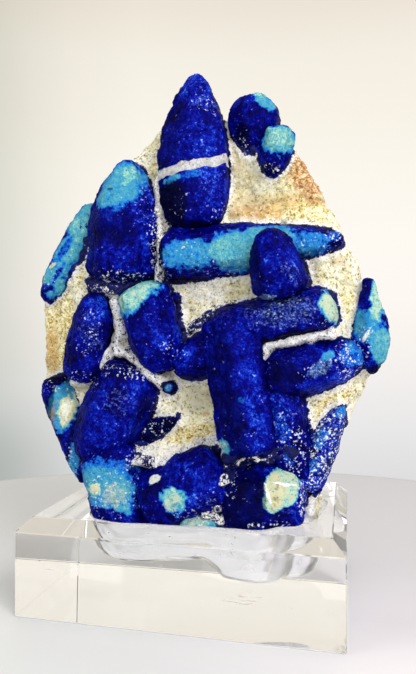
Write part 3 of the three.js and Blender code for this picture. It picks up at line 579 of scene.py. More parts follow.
def trough_reach(angle):
    """Distance from the trough's centre to its rim along each direction, smooth between the
    rim's corners: a periodic Catmull-Rom curve of the corners' distances over their angles."""
    away = TROUGH_RIM - TROUGH_CENTRE
    at = np.arctan2(away[:, 1], away[:, 0])
    order = np.argsort(at)
    at, far = at[order], np.hypot(*away.T)[order]
    at = np.concatenate([at[-2:] - 2 * np.pi, at, at[:2] + 2 * np.pi])
    far = np.concatenate([far[-2:], far, far[:2]])
    i = np.clip(np.searchsorted(at, angle, side="right") - 1, 1, len(at) - 3)
    t = (angle - at[i]) / (at[i + 1] - at[i])
    a, b, c, d = far[i - 1], far[i], far[i + 1], far[i + 2]
    return b + 0.5 * t * (c - a + t * (2 * a - 5 * b + 4 * c - d + t * (3 * (b - c) + d - a)))


def trough_depth(x):
    """Depth of the bowl: shallow on the left, deep on the right, eased between."""
    return TROUGH_SHALLOW + (TROUGH_DEEP - TROUGH_SHALLOW) * ease(*TROUGH_DEEPENS, x)


def bowl_reach(angle, share):
    """How far the bowl reaches from its centre at a share of its depth: the rim's distance less
    the wall's way in, which widens with the depth there."""
    rim = trough_reach(angle)
    spread = (trough_depth(TROUGH_CENTRE[0] + rim * np.cos(angle)) / TROUGH_SHALLOW) ** WALL_SPREAD
    inward = np.interp(share, TROUGH_WALL[:, 0], TROUGH_WALL[:, 1])
    return rim * np.maximum(BOWL_LEAST, 1 - inward * spread / rim)


def seated(p):
    """Points below the block's top are brought inside the bowl: sideways to its wall, up to its
    bottom, or up onto the block's top where they lie outside the rim and near it."""
    p = p.copy()
    low = p[..., 2] < BLOCK_HEIGHT + CLEARANCE
    away = p[..., :2] - TROUGH_CENTRE
    far, angle = np.hypot(away[..., 0], away[..., 1]) + 1e-9, np.arctan2(away[..., 1], away[..., 0])
    floor = BLOCK_HEIGHT - SEAT_DEPTH * trough_depth(p[..., 0])
    z = np.where(low, np.maximum(p[..., 2], floor), p[..., 2])
    share = np.clip((BLOCK_HEIGHT - z) / trough_depth(p[..., 0]), 0, 1)
    most = bowl_reach(angle, share)
    on_top = low & (far > trough_reach(angle)) & (z > BLOCK_HEIGHT - LAP)
    scale = np.where(low & ~on_top, np.minimum(1, most / far), 1)
    p[..., :2] = TROUGH_CENTRE + away * scale[..., None]
    p[..., 2] = np.where(on_top, BLOCK_HEIGHT + CLEARANCE, z)
    return p


# ---- Crystals

def barrel_width(share, ends):
    """Width of a crystal against its greatest: 1 in the middle, and towards each end
    least + (1 - least) * (1 - q^2) ^ roundness, q running from 0 to 1 over the taper."""
    (foot_long, foot_least, foot_round), (tip_long, tip_least, tip_round) = ends
    def taper(q, least, roundness):
        return least + (1 - least) * np.maximum(0, 1 - np.clip(q, 0, 1) ** 2) ** roundness
    return np.minimum(
        taper(1 - share / foot_long, foot_least, foot_round),
        taper((share - 1 + tip_long) / tip_long, tip_least, tip_round),
    )


def crystal_axes(foot, tip):
    """The crystal's length, and its unit vectors along, sideways and to the front."""
    along = np.subtract(tip, foot).astype(float)
    length = np.linalg.norm(along)
    along /= length
    front = np.array([0.0, 0, 1]) if abs(along[1]) > 0.9 else np.array([0.0, -1, 0])
    front -= front @ along * along
    front /= np.linalg.norm(front)
    return length, along, np.cross(along, front), front


def evenly(path, step, weight=1.0):
    """Places along a path of points [n, 2], as indices between its points, about `step` apart."""
    leg = np.linalg.norm(np.diff(path, axis=0), axis=1) * weight
    run = np.concatenate([[0], np.cumsum(leg)])
    count = max(8, int(run[-1] / step))
    return np.interp(np.linspace(0, run[-1], count + 1), run, np.arange(len(path)))


def hexagon(angle, turn, sharpness):
    """Radius of a hexagon with rounded corners: the inverse of a high mean of the six faces'
    cosines, (sum of max(0, cos(angle - face))^sharpness)^(-1 / sharpness)."""
    faces = np.radians(60 * np.arange(6) + turn)
    toward = np.maximum(0, np.cos(angle[:, None] - faces)) ** sharpness
    return toward.sum(1) ** (-1 / sharpness)


def vein_edge(x, y, side):
    """Height of the vein's lower (-1) or upper (1) side: a wavy plane that rises to the right and
    dips towards the front."""
    p = np.stack([x, y, np.full_like(x, 7.0 * side)], -1)
    wave = 0.55 * noise(p, 3.4, 31) + 0.3 * noise(p, 1.3, 32)
    rise = math.tan(math.radians(VEIN_TILT)) * (x - VEIN_AT[0]) + VEIN_DIP * (y - VEIN_AT[1])
    return VEIN_AT[2] + rise + side * VEIN_THICK / 2 + wave


STEP = 0.4  # millimetres between a crystal's points on its front
BACK_ANGLE, BACK_STEPS = 118, 0.45  # past this angle off the front, there are fewer, by this
AROUND, ALONG = 1441, 2000  # samples of an outline and of a profile, to spread the points by


def crystal_grid(foot, tip, half, proud, root, ends, turn, sharpness, cut=(None, None)):
    """A six-sided barrel: rings of a rounded hexagon along the axis from foot to tip, as wide as
    barrel_width says and rounded off over the last bit at each end. cut gives two functions for
    the shares of the length between which each line of points runs instead. Returns the places,
    the share of the length and the angle from the front of each point."""
    length, along, side, front = crystal_axes(foot, tip)
    foot = np.array(foot, float)
    dense = np.linspace(-np.pi, np.pi, AROUND)
    outline = hexagon(dense + np.pi / 2, turn, sharpness)
    ring = np.stack([-outline * np.sin(dense) * half, outline * np.cos(dense) * (proud + root) / 2], 1)
    behind = np.abs((dense[1:] + dense[:-1]) / 2) > np.radians(BACK_ANGLE)
    spread = evenly(ring, STEP, np.where(behind, BACK_STEPS, 1))[:-1]
    angle = np.interp(spread, np.arange(AROUND), dense)
    radius = hexagon(angle + np.pi / 2, turn, sharpness)
    across, forward = -radius * np.sin(angle), radius * np.cos(angle)
    across = across / np.abs(outline * np.sin(dense)).max()
    forward = forward / np.abs(outline * np.cos(dense)).max()

    foot_cap, tip_cap = (min(0.2, 0.6 * half * end[1] / length) for end in ends)
    def width(share):
        near = np.minimum(share / foot_cap, (1 - share) / tip_cap)
        return barrel_width(share, ends) * np.sqrt(1 - np.clip(1 - near, 0, 1) ** 2)
    crossing = foot, across * half, -forward * proud, length
    low, high = (
        np.full(len(angle), whole) if end is None else end(*crossing)
        for end, whole in zip(cut, (0.0, 1.0))
    )
    s = (1 - np.cos(np.linspace(0, np.pi, ALONG))) / 2
    line = low.mean() + (high.mean() - low.mean()) * s
    profile = np.stack([line * length, width(line) * half], 1)
    s = np.interp(evenly(profile, STEP), np.arange(ALONG), s)
    s = np.clip(s, 0.0005, 0.9995)[:, None]
    share = low + (high - low) * s
    wide = width(share)
    reach = np.where(forward > 0, proud, root) * wide**0.8
    grid = (
        foot + along * (share * length)[..., None]
        + side * (across * half * wide)[..., None]
        + front * (forward * reach)[..., None]
    )
    return grid, share, np.broadcast_to(angle, share.shape)


def vein_cut(side, more=0.0):
    """The share of the tall crystal's length at which each of its lines meets the vein's lower
    (-1) or upper (1) side, and a bit more."""
    def share(foot, x, y, length):
        return (vein_edge(foot[0] + VEIN_SHIFT + x, foot[1] + y, side) - foot[2]) / length + more
    return share


def crystal_layers(name, grid, angle, seed):
    """The colour zones of one crystal, one value a point, with a dark rim, partly dark blue and
    partly painted shade, and some white grains at its flanks, where it dives into the marble."""
    spots = ZONES[name]
    layers = {
        kind: zone(grid, spots, kind, seed + 3 * i, *CRISP.get(name, ()))
        for i, kind in enumerate(("pale", "frost", "dusk", "fleck", "lift", "cream", "amber", "snow"))
    }
    layers["pale"] = layers["pale"] * (1 - zone(grid, spots, "blue", seed + 40))
    flank = ease(1.15, 1.75, np.abs(angle) + 0.25 * noise(grid, 2.0, seed + 50))
    if name in THIN_EDGED:
        flank = 0.15 * flank
    # Painted shade, with dark blue, on the flanks; less where the crystal is pale.
    rim = 0.75 * flank * (1 - 0.75 * ease(0.2, 0.7, layers["pale"]))
    layers["dusk"] = np.maximum(layers["dusk"], rim)
    layers["fleck"] = np.maximum(layers["fleck"], 0.5 * flank * ease(0, 0.3, rough(grid, 4, seed + 60)))
    return layers


def crystal_relief(name, grid, share, angle, sharpness, turn, seed):
    """Height of the surface over the smooth barrel, in millimetres: broad swellings, hollows,
    the grain of the surface, chipped edges, and on two crystals grooves along their length."""
    height = 0.6 * rough(grid, 9, seed, 2) + 0.26 * rough(grid, 2.8, seed + 5, 2)
    height = height + 0.4 * chips(grid, 5.0, seed + 21) + 0.2 * chips(grid @ TURN, 2.1, seed + 31)
    height = height + 0.1 * noise(grid, 1.0, seed + 7)
    pits = ease(0.42, 0.75, noise(grid, 2.1, seed + 11)) * ease(-0.2, 0.4, noise(grid, 7, seed + 12))
    height = height - 0.45 * pits
    edge = hexagon(angle[0] + np.pi / 2, turn, sharpness)
    edge = ease(0.55, 0.95, (edge - edge.min()) / (np.ptp(edge) + 1e-9))
    height = height - 0.35 * edge * ease(0.0, 0.5, rough(grid, 3.4, seed + 15))
    if name == "striated":
        around = np.stack([angle * 9, share * 2.2, np.zeros_like(angle)], -1)
        height = height + 0.2 * noise(around, 0.9, 71) + 0.14 * noise(around, 0.42, 72)
    if name == "eye":
        around = np.stack([grid[..., 0], grid[..., 2] * 0.16, grid[..., 1] * 0.3], -1)
        height = height + 0.16 * noise(around, 1.3, 73)
    return height


# ---- The marble

def lumps(x, z):
    """Low lumps of the broken marble, from four crossed waves."""
    broad = 0.9 * np.sin(0.19 * x + 0.11 * z + 0.7) * np.cos(0.16 * z - 0.08 * x)
    fine = 0.5 * np.sin(0.47 * x - 0.33 * z + 2.1) * np.sin(0.41 * z + 0.29 * x + 0.4)
    return broad + fine


def slab_front(x, z):
    """The highest of the front planes, plus the lumps."""
    return np.max([at + a * x + b * z for at, a, b in SLAB_FRONT], axis=0) + lumps(x, z)


def slab_back(x, z):
    """The lowest of the back planes, less the step of the cleavage ledge, plus bigger lumps."""
    ledge = LEDGE_HEIGHT * ease(LEDGE_AT - LEDGE_WIDTH, LEDGE_AT + LEDGE_WIDTH, z + LEDGE_ALONG_X * x)
    lowest = np.min([at + a * x + b * z for at, a, b in SLAB_BACK], axis=0)
    return lowest - ledge + 1.7 * lumps(x + 31, z - 12)


def path_gap(x, z, path):
    """Distance from each place to a path of [x, z]: the least over its straight legs."""
    gap = np.full(x.shape, 1e9)
    for (x0, z0), (x1, z1) in zip(path[:-1], path[1:]):
        dx, dz = x1 - x0, z1 - z0
        t = np.clip(((x - x0) * dx + (z - z0) * dz) / (dx * dx + dz * dz), 0, 1)
        gap = np.minimum(gap, np.hypot(x - x0 - t * dx, z - z0 - t * dz))
    return gap


def crystal_gap(x, z):
    """Distance from each place on the front to the nearest crystal's outline: across its axis,
    the way from the axis less the half width there."""
    gap = np.full(x.shape, 1e9)
    for name, (_, _, foot, tip, half, _, _, ends, _, _) in CRYSTALS.items():
        if name in OUTWARD:
            gap = np.minimum(gap, np.hypot(x - tip[0], z - tip[2]) - half)
            continue
        ax, az = tip[0] - foot[0], tip[2] - foot[2]
        length = math.hypot(ax, az)
        t = ((x - foot[0]) * ax + (z - foot[2]) * az) / length**2
        off = np.abs((x - foot[0]) * az - (z - foot[2]) * ax) / length
        beyond = np.maximum(0, np.maximum(-t, t - 1)) * length
        outside = off - half * barrel_width(np.clip(t, 0, 1), ends)
        gap = np.minimum(gap, np.where(beyond > 0, np.hypot(beyond, np.maximum(outside, 0)), outside))
    return gap


def superellipse(turn, power):
    """A squared circle, in polar form: (-cos, -sin) of the turn, pushed out until the sum of the
    absolute coordinates, each to the power, is 1."""
    way = -np.stack([np.cos(turn), np.sin(turn)], 1)
    return way * (np.abs(way) ** power).sum(1, keepdims=True) ** (-1 / power)


SLAB_SAMPLES = 4001  # of a row's loop and of the rise, to spread the points by
ROW_POWER, RISE_POWER = 9, 14  # how square they are
ROW_HALF, RISE_HALF = (48, 15), (73, 14)  # half width and depth, half height and depth
ROW_STEP, RISE_STEP = 0.57, 0.52  # between points on the front
SIDE_STEPS, REAR_STEPS = 0.5, 0.36  # the sides and the back have this share of the front's points


def marble_grid():
    """The slab in rows of height. Each row is a loop with well rounded corners, a superellipse in
    the plane of x and y: its sides follow the left and right rims, its front and back follow
    slab_front and slab_back, and the thickness closes up over the last bit at top and bottom,
    as half of another superellipse does. Returns the places and how deep in its row each of a
    row's points is, -1 on the front to 1 on the back."""
    low, high = SLAB_HEIGHTS
    turn = np.linspace(0, 2 * np.pi, SLAB_SAMPLES)
    loop = superellipse(turn, ROW_POWER) * ROW_HALF
    middle = (loop[1:] + loop[:-1]) / 2
    weight = np.where(middle[:, 1] < -8, 1, np.where(middle[:, 1] > 13, REAR_STEPS, SIDE_STEPS))
    at = np.interp(evenly(loop, ROW_STEP, weight)[:-1], np.arange(SLAB_SAMPLES), turn)
    across, deep = superellipse(at, ROW_POWER).T
    turn = np.linspace(0, np.pi, SLAB_SAMPLES)
    rise = superellipse(turn, RISE_POWER) * RISE_HALF
    at = np.interp(evenly(rise, RISE_STEP), np.arange(SLAB_SAMPLES), turn)
    up, thick = superellipse(at, RISE_POWER).T * [[1], [-1]]
    z = (low + high) / 2 + up * (high - low) / 2
    ragged = np.stack([np.zeros_like(z), np.zeros_like(z), z], -1)
    left = np.interp(z, SLAB_LEFT[:, 1], SLAB_LEFT[:, 0]) + 0.7 * rough(ragged, 4, 81)
    right = np.interp(z, SLAB_RIGHT[:, 1], SLAB_RIGHT[:, 0]) + 0.7 * rough(ragged, 4, 85)
    x = (left[:, None] * (1 - across) + right[:, None] * (1 + across)) / 2
    z = np.broadcast_to(z[:, None], x.shape)
    front, back = slab_front(x, z), slab_back(x, z)
    y = (front + back) / 2 + np.maximum(back - front, 6) / 2 * deep * np.maximum(thick[:, None], 0.02)
    return np.stack([x, y, z], -1), deep


BANK_HEIGHT, BANK_REACH = 1.3, 1.5  # how high the marble climbs to a crystal, and from how far
FILL_SLOPE = 2.2  # fall of a fill's sides, in millimetres for each millimetre
VIOLET_HEIGHTS = (118, 108)  # no violet tint above, all of it below


def marble_piece(material):
    """The white marble with its relief: broken facets, sugar grain, banks that climb to the
    crystals and the fills between them. Its layers are the stains, more of them where calcite
    fills a gap or lies along a crystal, iron on the back, and a thin line of painted contact shade
    where it meets a crystal."""
    grid, deep = marble_grid()
    x, z = grid[..., 0], grid[..., 2]
    frontal, behind = (
        np.broadcast_to(ease(low, high, way * deep), x.shape)
        for low, high, way in ((0.2, 0.9, -1), (0, 0.6, 1))
    )
    normal = outward(grid)
    gap = crystal_gap(x, z)
    height = 0.75 * chips(grid, 6.5, 101) + 0.35 * chips(grid @ TURN, 2.6, 111)
    height = height + 0.3 * rough(grid, 2.4, 121, 3) + 0.12 * noise(grid, 0.8, 125)
    height = height * (1 + 1.3 * (1 - frontal) * ease(0.3, 0.9, np.abs(deep))[None, :])
    uneven = 0.7 + 0.5 * noise(grid, 2.2, 131)
    height = height + frontal * BANK_HEIGHT * np.exp(-np.clip(gap, 0, 9) / BANK_REACH) * uneven
    grid = grid + normal * height[..., None]
    soot, filled = frontal * zone(grid, STAINS, "soot", 145), np.zeros_like(x)
    snow = zone(grid, STAINS, "snow", 141)
    for i, (path, level, wide, dark) in enumerate(FILLS):
        winding = 0.7 * noise(grid, 2.4, 151 + i), 0.7 * noise(grid, 2.1, 171 + i)
        off = path_gap(x + winding[0], z + winding[1], path)
        target = level + 0.9 * noise(grid, 1.5, 191 + i) + FILL_SLOPE * np.maximum(0, off - wide)
        raised = frontal * (target < grid[..., 1])
        grid[..., 1] = np.where(raised > 0.5, target, grid[..., 1])
        near = frontal * (1 - ease(wide, wide + 1.6, off))
        snow = np.maximum(snow, near)
        soot = np.maximum(soot * (1 - near), dark * near)
        filled = np.maximum(filled, near * (dark < DARK_FILL))
    # Painted contact shade: a thin dark line on the marble along each crystal, less where calcite
    # fills.
    contact_shade = frontal * (1 - ease(0.05, 0.75, gap + 0.35 * noise(grid, 1.1, 211)))
    contact_shade = contact_shade * (1 - 0.75 * filled)
    halo = frontal * (1 - ease(0.8, 2.8, gap + 0.6 * noise(grid, 1.8, 212)))
    iron = behind * ease(0.05, 0.5, rough(grid, 17, 221)) * 0.7
    on_back = {
        "amber": 0.8 * iron, "rust": iron * ease(0.1, 0.5, rough(grid, 6, 225)),
        "grey": 0.5 * behind * ease(0, 0.6, rough(grid, 12, 261)),
    }
    layers = {
        kind: np.maximum(zone(grid, STAINS, kind, 231 + 10 * i, soft=0.5), least)
        for i, (kind, least) in enumerate(on_back.items())
    }
    layers["amber"] = layers["amber"] * (1 - 0.6 * halo)
    layers["snow"] = np.maximum(snow, 0.7 * halo)
    layers["soot"] = np.maximum(soot, 0.95 * contact_shade)
    layers["violet"] = 0.5 * np.maximum(filled, 0.6 * halo) * ease(*VIOLET_HEIGHTS, z)
    closed_piece("marble_slab", seated(grid), layers, material, "marble_matrix")


def vein_piece(material):
    """The calcite band across the tall crystal: a stretch of its barrel between two wavy planes,
    a little narrower, with a rougher skin."""
    barrel = CRYSTALS["tall_tip"][2:]
    *_, turn, sharpness = barrel
    cut = vein_cut(-1, -VEIN_OVERLAP), vein_cut(1, VEIN_OVERLAP)
    grid, share, angle = crystal_grid(*barrel, cut)
    height = crystal_relief("vein", grid, share, angle, sharpness, turn, FIRST_SEED)
    height = height + 0.3 * rough(grid, 1.6, 301) - 0.15
    grid = grid + outward(grid) * height[..., None]
    layers = {
        "amber": np.zeros(share.shape),
        "rust": 0.6 * ease(0.2, 0.6, noise(grid, 4, 321)),
        "snow": 0.5 - 0.4 * ease(0, 0.6, noise(grid, 2.5, 327)),
        "soot": np.full(share.shape, 0.2),
        "violet": np.full(share.shape, 0.8),
        "grey": 0.6 + 0.4 * ease(-0.3, 0.5, noise(grid, 6, 325)),
    }
    closed_piece("calcite_vein", grid, layers, material, "marble_matrix")


def crystal_piece(name, seed, material):
    """One crystal: its barrel, moved outwards by its relief, with its colour zones. The two
    parts of the tall one end at the vein and share one relief."""
    node, slot, *barrel = CRYSTALS[name]
    foot, *_, turn, sharpness = barrel
    cuts = {"tall_tip": (vein_cut(1), None), "tall_root": (None, vein_cut(-1))}
    grid, share, angle = crystal_grid(*barrel, cuts.get(name, (None, None)))
    relief_seed = FIRST_SEED if name in cuts else seed
    relief = crystal_relief(name, grid, share, angle, sharpness, turn, relief_seed)
    grid = grid + outward(grid) * relief[..., None]
    layers = crystal_layers(name, grid, angle, seed)
    if foot[2] < SEATED_BELOW:
        grid = seated(grid)
    closed_piece(name, grid, layers, material, node)


# ---- The acrylic block

def pocket_depth(x):
    """Depth of the polished trough: shallow on the left, then a box-like pocket on the right."""
    return 11.2 + 1.1 * ease(-32, -15, x) + 4.2 * ease(6.5, 14, x) + 1.1 * ease(20, 40, x)


def pocket_ring(way, share):
    """One ring of the trough's polished wall at a share of its depth: the rim, drawn in by the
    wall's way in, which is less at the steep left and right ends, with soft waves of polishing."""
    angle = np.arctan2(way[:, 1], way[:, 0])
    rim = trough_reach(angle)
    steep = 1 - np.where(way[:, 0] > 0, 0.72, 0.4) * ease(0.55, 0.95, np.abs(way[:, 0]))
    spread = (pocket_depth(TROUGH_CENTRE[0] + rim * way[:, 0]) / TROUGH_SHALLOW) ** WALL_SPREAD
    inward = np.interp(share, TROUGH_WALL[:, 0], TROUGH_WALL[:, 1])
    reach = rim * np.maximum(POCKET_LEAST, 1 - inward * spread * steep / rim) + CLEARANCE
    x, y = (TROUGH_CENTRE + way * reach[:, None]).T
    p = np.stack([x, y, BLOCK_HEIGHT - pocket_depth(x) * share], -1)
    fade = ease(0, 0.15, share)
    wave = fade * (0.5 + 0.5 * rough(p * [1, 1, 1.6], 9, 401, 2) + 0.13 * noise(p, 3, 405))
    p[:, :2] += way * wave[:, None] * 0.35
    p[:, 2] -= CLEARANCE * fade + 0.2 * wave
    return p


def block_ring(way, inset, z):
    """The block's outline drawn in by inset: each direction from the trough's centre meets a side
    or the small cut across a corner, and the whole is shrunk so that corners stay in line."""
    half = np.array(BLOCK_HALF)
    reach = np.full(len(way), 1e9)
    for side in ([1, 0], [-1, 0], [0, 1], [0, -1], [1, 1], [1, -1], [-1, 1], [-1, -1]):
        limit = np.abs(side) @ half - (CORNER_CUT if min(np.abs(side)) else 0)
        toward = way @ side
        room = (limit - TROUGH_CENTRE @ side) / np.where(toward > 1e-6, toward, np.inf)
        reach = np.where(toward > 1e-6, np.minimum(reach, room), reach)
    xy = (TROUGH_CENTRE + way * reach[:, None]) * (half - inset) / half
    return np.concatenate([xy, np.full((len(way), 1), z)], 1)


DIRECTIONS, WALL_RINGS, LIP = 561, 44, 0.3
HAZE_AND_GLOW, HAZE_AND_GLOW_RIGHT, HAZE_AND_GLOW_STREAK = 0.07, 0.05, 0.1  # cloudy polish and painted glow: all over the wall, more to the right, one painted highlight streak
STREAK_AT, STREAK_WIDTH = -0.38, 0.1  # in radians round the trough's centre


def block_piece(material):
    """Rings from the trough's bottom up its wall, over the rim, along the top, down the bevel and
    the side to the underside. Every edge is broken by about a quarter of a millimetre. The layer
    says how cloudy the trough's polish is and how strongly its wall glows with painted light, more
    to the right and in one painted highlight streak; the outer faces have none."""
    half = np.array(BLOCK_HALF)
    cuts = np.array([
        [sx * (half[0] - CORNER_CUT * on), sy * (half[1] - CORNER_CUT * (1 - on))]
        for sx in (-1, 1) for sy in (-1, 1) for on in (0, 1)
    ]) - TROUGH_CENTRE
    angle = np.linspace(-np.pi, np.pi, DIRECTIONS)[:-1]
    angle = np.unique(np.concatenate([angle, np.arctan2(cuts[:, 1], cuts[:, 0])]))
    way = np.stack([np.cos(angle), np.sin(angle)], -1)
    depths = np.array([*np.linspace(1, 0.06, WALL_RINGS), 0.03, 0])
    wall = [pocket_ring(way, share) for share in depths]
    lip = wall[-1] + np.concatenate([way * LIP, np.zeros((len(angle), 1))], 1)
    shoulder = BLOCK_HEIGHT - BEVEL
    edges = (
        (BEVEL + SOFT, BLOCK_HEIGHT), (BEVEL - 0.7 * SOFT, BLOCK_HEIGHT - 0.7 * SOFT),
        (0.7 * SOFT, shoulder + 0.7 * SOFT), (0, shoulder - SOFT), (0, SOFT), (SOFT, 0),
    )
    outer = [block_ring(way, inset, z) for inset, z in edges]
    ends = [[*TROUGH_CENTRE, wall[0][:, 2].mean()], [*TROUGH_CENTRE, 0]]
    smooth = np.array([True] * len(wall) + [False] * len(outer))
    haze = np.zeros((len(wall) + 1 + len(outer), len(angle)))
    # Painted light: the wall's glow is stronger to the right and in one bright streak.
    streak = np.exp(-((angle - STREAK_AT) / STREAK_WIDTH) ** 2) * ease(0.02, 0.3, depths)[:, None]
    over_all = (HAZE_AND_GLOW + HAZE_AND_GLOW_RIGHT * ease(0.0, 0.5, way[:, 0])) * ease(0.0, 0.12, depths)[:, None]
    haze[:len(wall)] = over_all + HAZE_AND_GLOW_STREAK * streak
    grid = np.array([*wall, lip, *outer])
    closed_piece(
        "clear_block", grid, {"haze": haze}, material, "acrylic_base", ends, smooth,
    )


# ---- Finishes

def tone(red, green, blue):
    """A screen colour of 0 to 255 as linear light."""
    def linear(value):
        value /= 255
        return value / 12.92 if value <= 0.04045 else ((value + 0.055) / 1.055) ** 2.4
    return (linear(red), linear(green), linear(blue), 1)


class Value:
    """A socket's number. Arithmetic on it adds Math nodes to its finish."""

    def __init__(self, finish, socket):
        self.finish, self.socket = finish, socket

    def _math(self, operation, *values, clamp=False):
        settings = {"operation": operation, "use_clamp": clamp}
        return self.finish.node("Math", settings, dict(enumerate(values)))

    def __add__(self, other):
        return self._math("ADD", self, other)

    __radd__ = __add__

    def __sub__(self, other):
        return self._math("SUBTRACT", self, other)

    def __rsub__(self, other):
        return self._math("SUBTRACT", other, self)

    def __mul__(self, other):
        return self._math("MULTIPLY", self, other)

    __rmul__ = __mul__

    def most(self, other):
        """The larger of the two."""
        return self._math("MAXIMUM", self, other)

    def clip(self):
        """The number held within 0..1."""
        return self._math("ADD", self, 0.0, clamp=True)

    def between(self, low, high):
        """0 below low, 1 above high, smooth between."""
        settings = {"interpolation_type": "SMOOTHSTEP"}
        inputs = {"Value": self, "From Min": low, "From Max": high}
        return self.finish.node("MapRange", settings, inputs)


class Finish:
    """The nodes of a new material, or of the node tree that is handed in."""

    def __init__(self, name, tree=None):
        if tree is None:
            self.material = bpy.data.materials.new(name)
            self.material.use_nodes = True
            tree = self.material.node_tree
        self.tree = tree
        self.tree.nodes.clear()

    def node(self, kind, settings=None, inputs=None, output=0):
        """Adds a node, sets it up, feeds its sockets, and returns one of its outputs."""
        made = self.tree.nodes.new("ShaderNode" + kind)
        for key, value in (settings or {}).items():
            if key == "stops":
                ramp = made.color_ramp
                while len(ramp.elements) < len(value):
                    ramp.elements.new(0.5)
                for element, (at, colour) in zip(ramp.elements, value):
                    element.position, element.color = at, colour
            else:
                setattr(made, key, value)
        for key, value in (inputs or {}).items():
            if isinstance(value, Value):
                self.tree.links.new(value.socket, made.inputs[key])
            else:
                made.inputs[key].default_value = value
        return Value(self, made.outputs[output]) if made.outputs else None

    def places(self):
        """Object coordinates in millimetres."""
        where = self.node("TexCoord", output="Object")
        return self.node("VectorMath", {"operation": "SCALE"}, {0: where, "Scale": 1 / MM})

    def layer(self, name):
        """One of the values that closed_mesh puts on the points."""
        return self.node("Attribute", {"attribute_name": name}, output="Fac")

    def noise(self, where, size, detail=2.0, roughness=0.5):
        """Noise of 0..1 whose blobs are about `size` across."""
        inputs = {"Vector": where, "Scale": 1 / size, "Detail": detail, "Roughness": roughness}
        return self.node("TexNoise", {}, inputs, "Fac")

    def grains(self, where, size):
        """Each grain `size` across gets one even random number."""
        found = self.node("TexVoronoi", {}, {"Vector": where, "Scale": 1 / size}, "Color")
        return self.node("SeparateColor", {}, {"Color": found}, "Red")

    def along(self, where, direction):
        """How far each place lies along a direction."""
        return self.node("VectorMath", {"operation": "DOT_PRODUCT"}, {0: where, 1: direction}, "Value")

    def near(self, where, middle, reach):
        """1 at the middle of an ellipsoid, down to 0 at its skin."""
        off = self.node("VectorMath", {"operation": "SUBTRACT"}, {0: where, 1: middle})
        off = self.node("VectorMath", {"operation": "DIVIDE"}, {0: off, 1: reach})
        far = self.node("VectorMath", {"operation": "LENGTH"}, {0: off}, "Value")
        return (1 - far).clip()

    def mix(self, share, first, second, blend="MIX"):
        """The first colour with a share of the second."""
        settings = {"data_type": "RGBA", "blend_type": blend, "clamp_factor": True}
        return self.node("Mix", settings, {0: share, 6: first, 7: second}, 2)

    def ramp(self, value, *stops):
        """A colour for each value, from stops of (value, red, green, blue) on screen."""
        stops = [(at, tone(*colour)) for at, *colour in stops]
        return self.node("ValToRGB", {"stops": stops}, {"Fac": value}, "Color")

    def surface(self, colour, roughness, height=None, depth=0.0, **constants):
        """The Principled shader, with a bump of `depth` millimetres from height."""
        inputs = {"Base Color": colour, "Roughness": roughness, **constants}
        if height is not None:
            relief = {"Height": height, "Distance": depth * MM}
            inputs["Normal"] = self.node("Bump", {}, relief, "Normal")
        shader = self.node("BsdfPrincipled", {}, inputs, "BSDF")
        self.node("OutputMaterial", {}, {"Surface": shader})
        return self.material


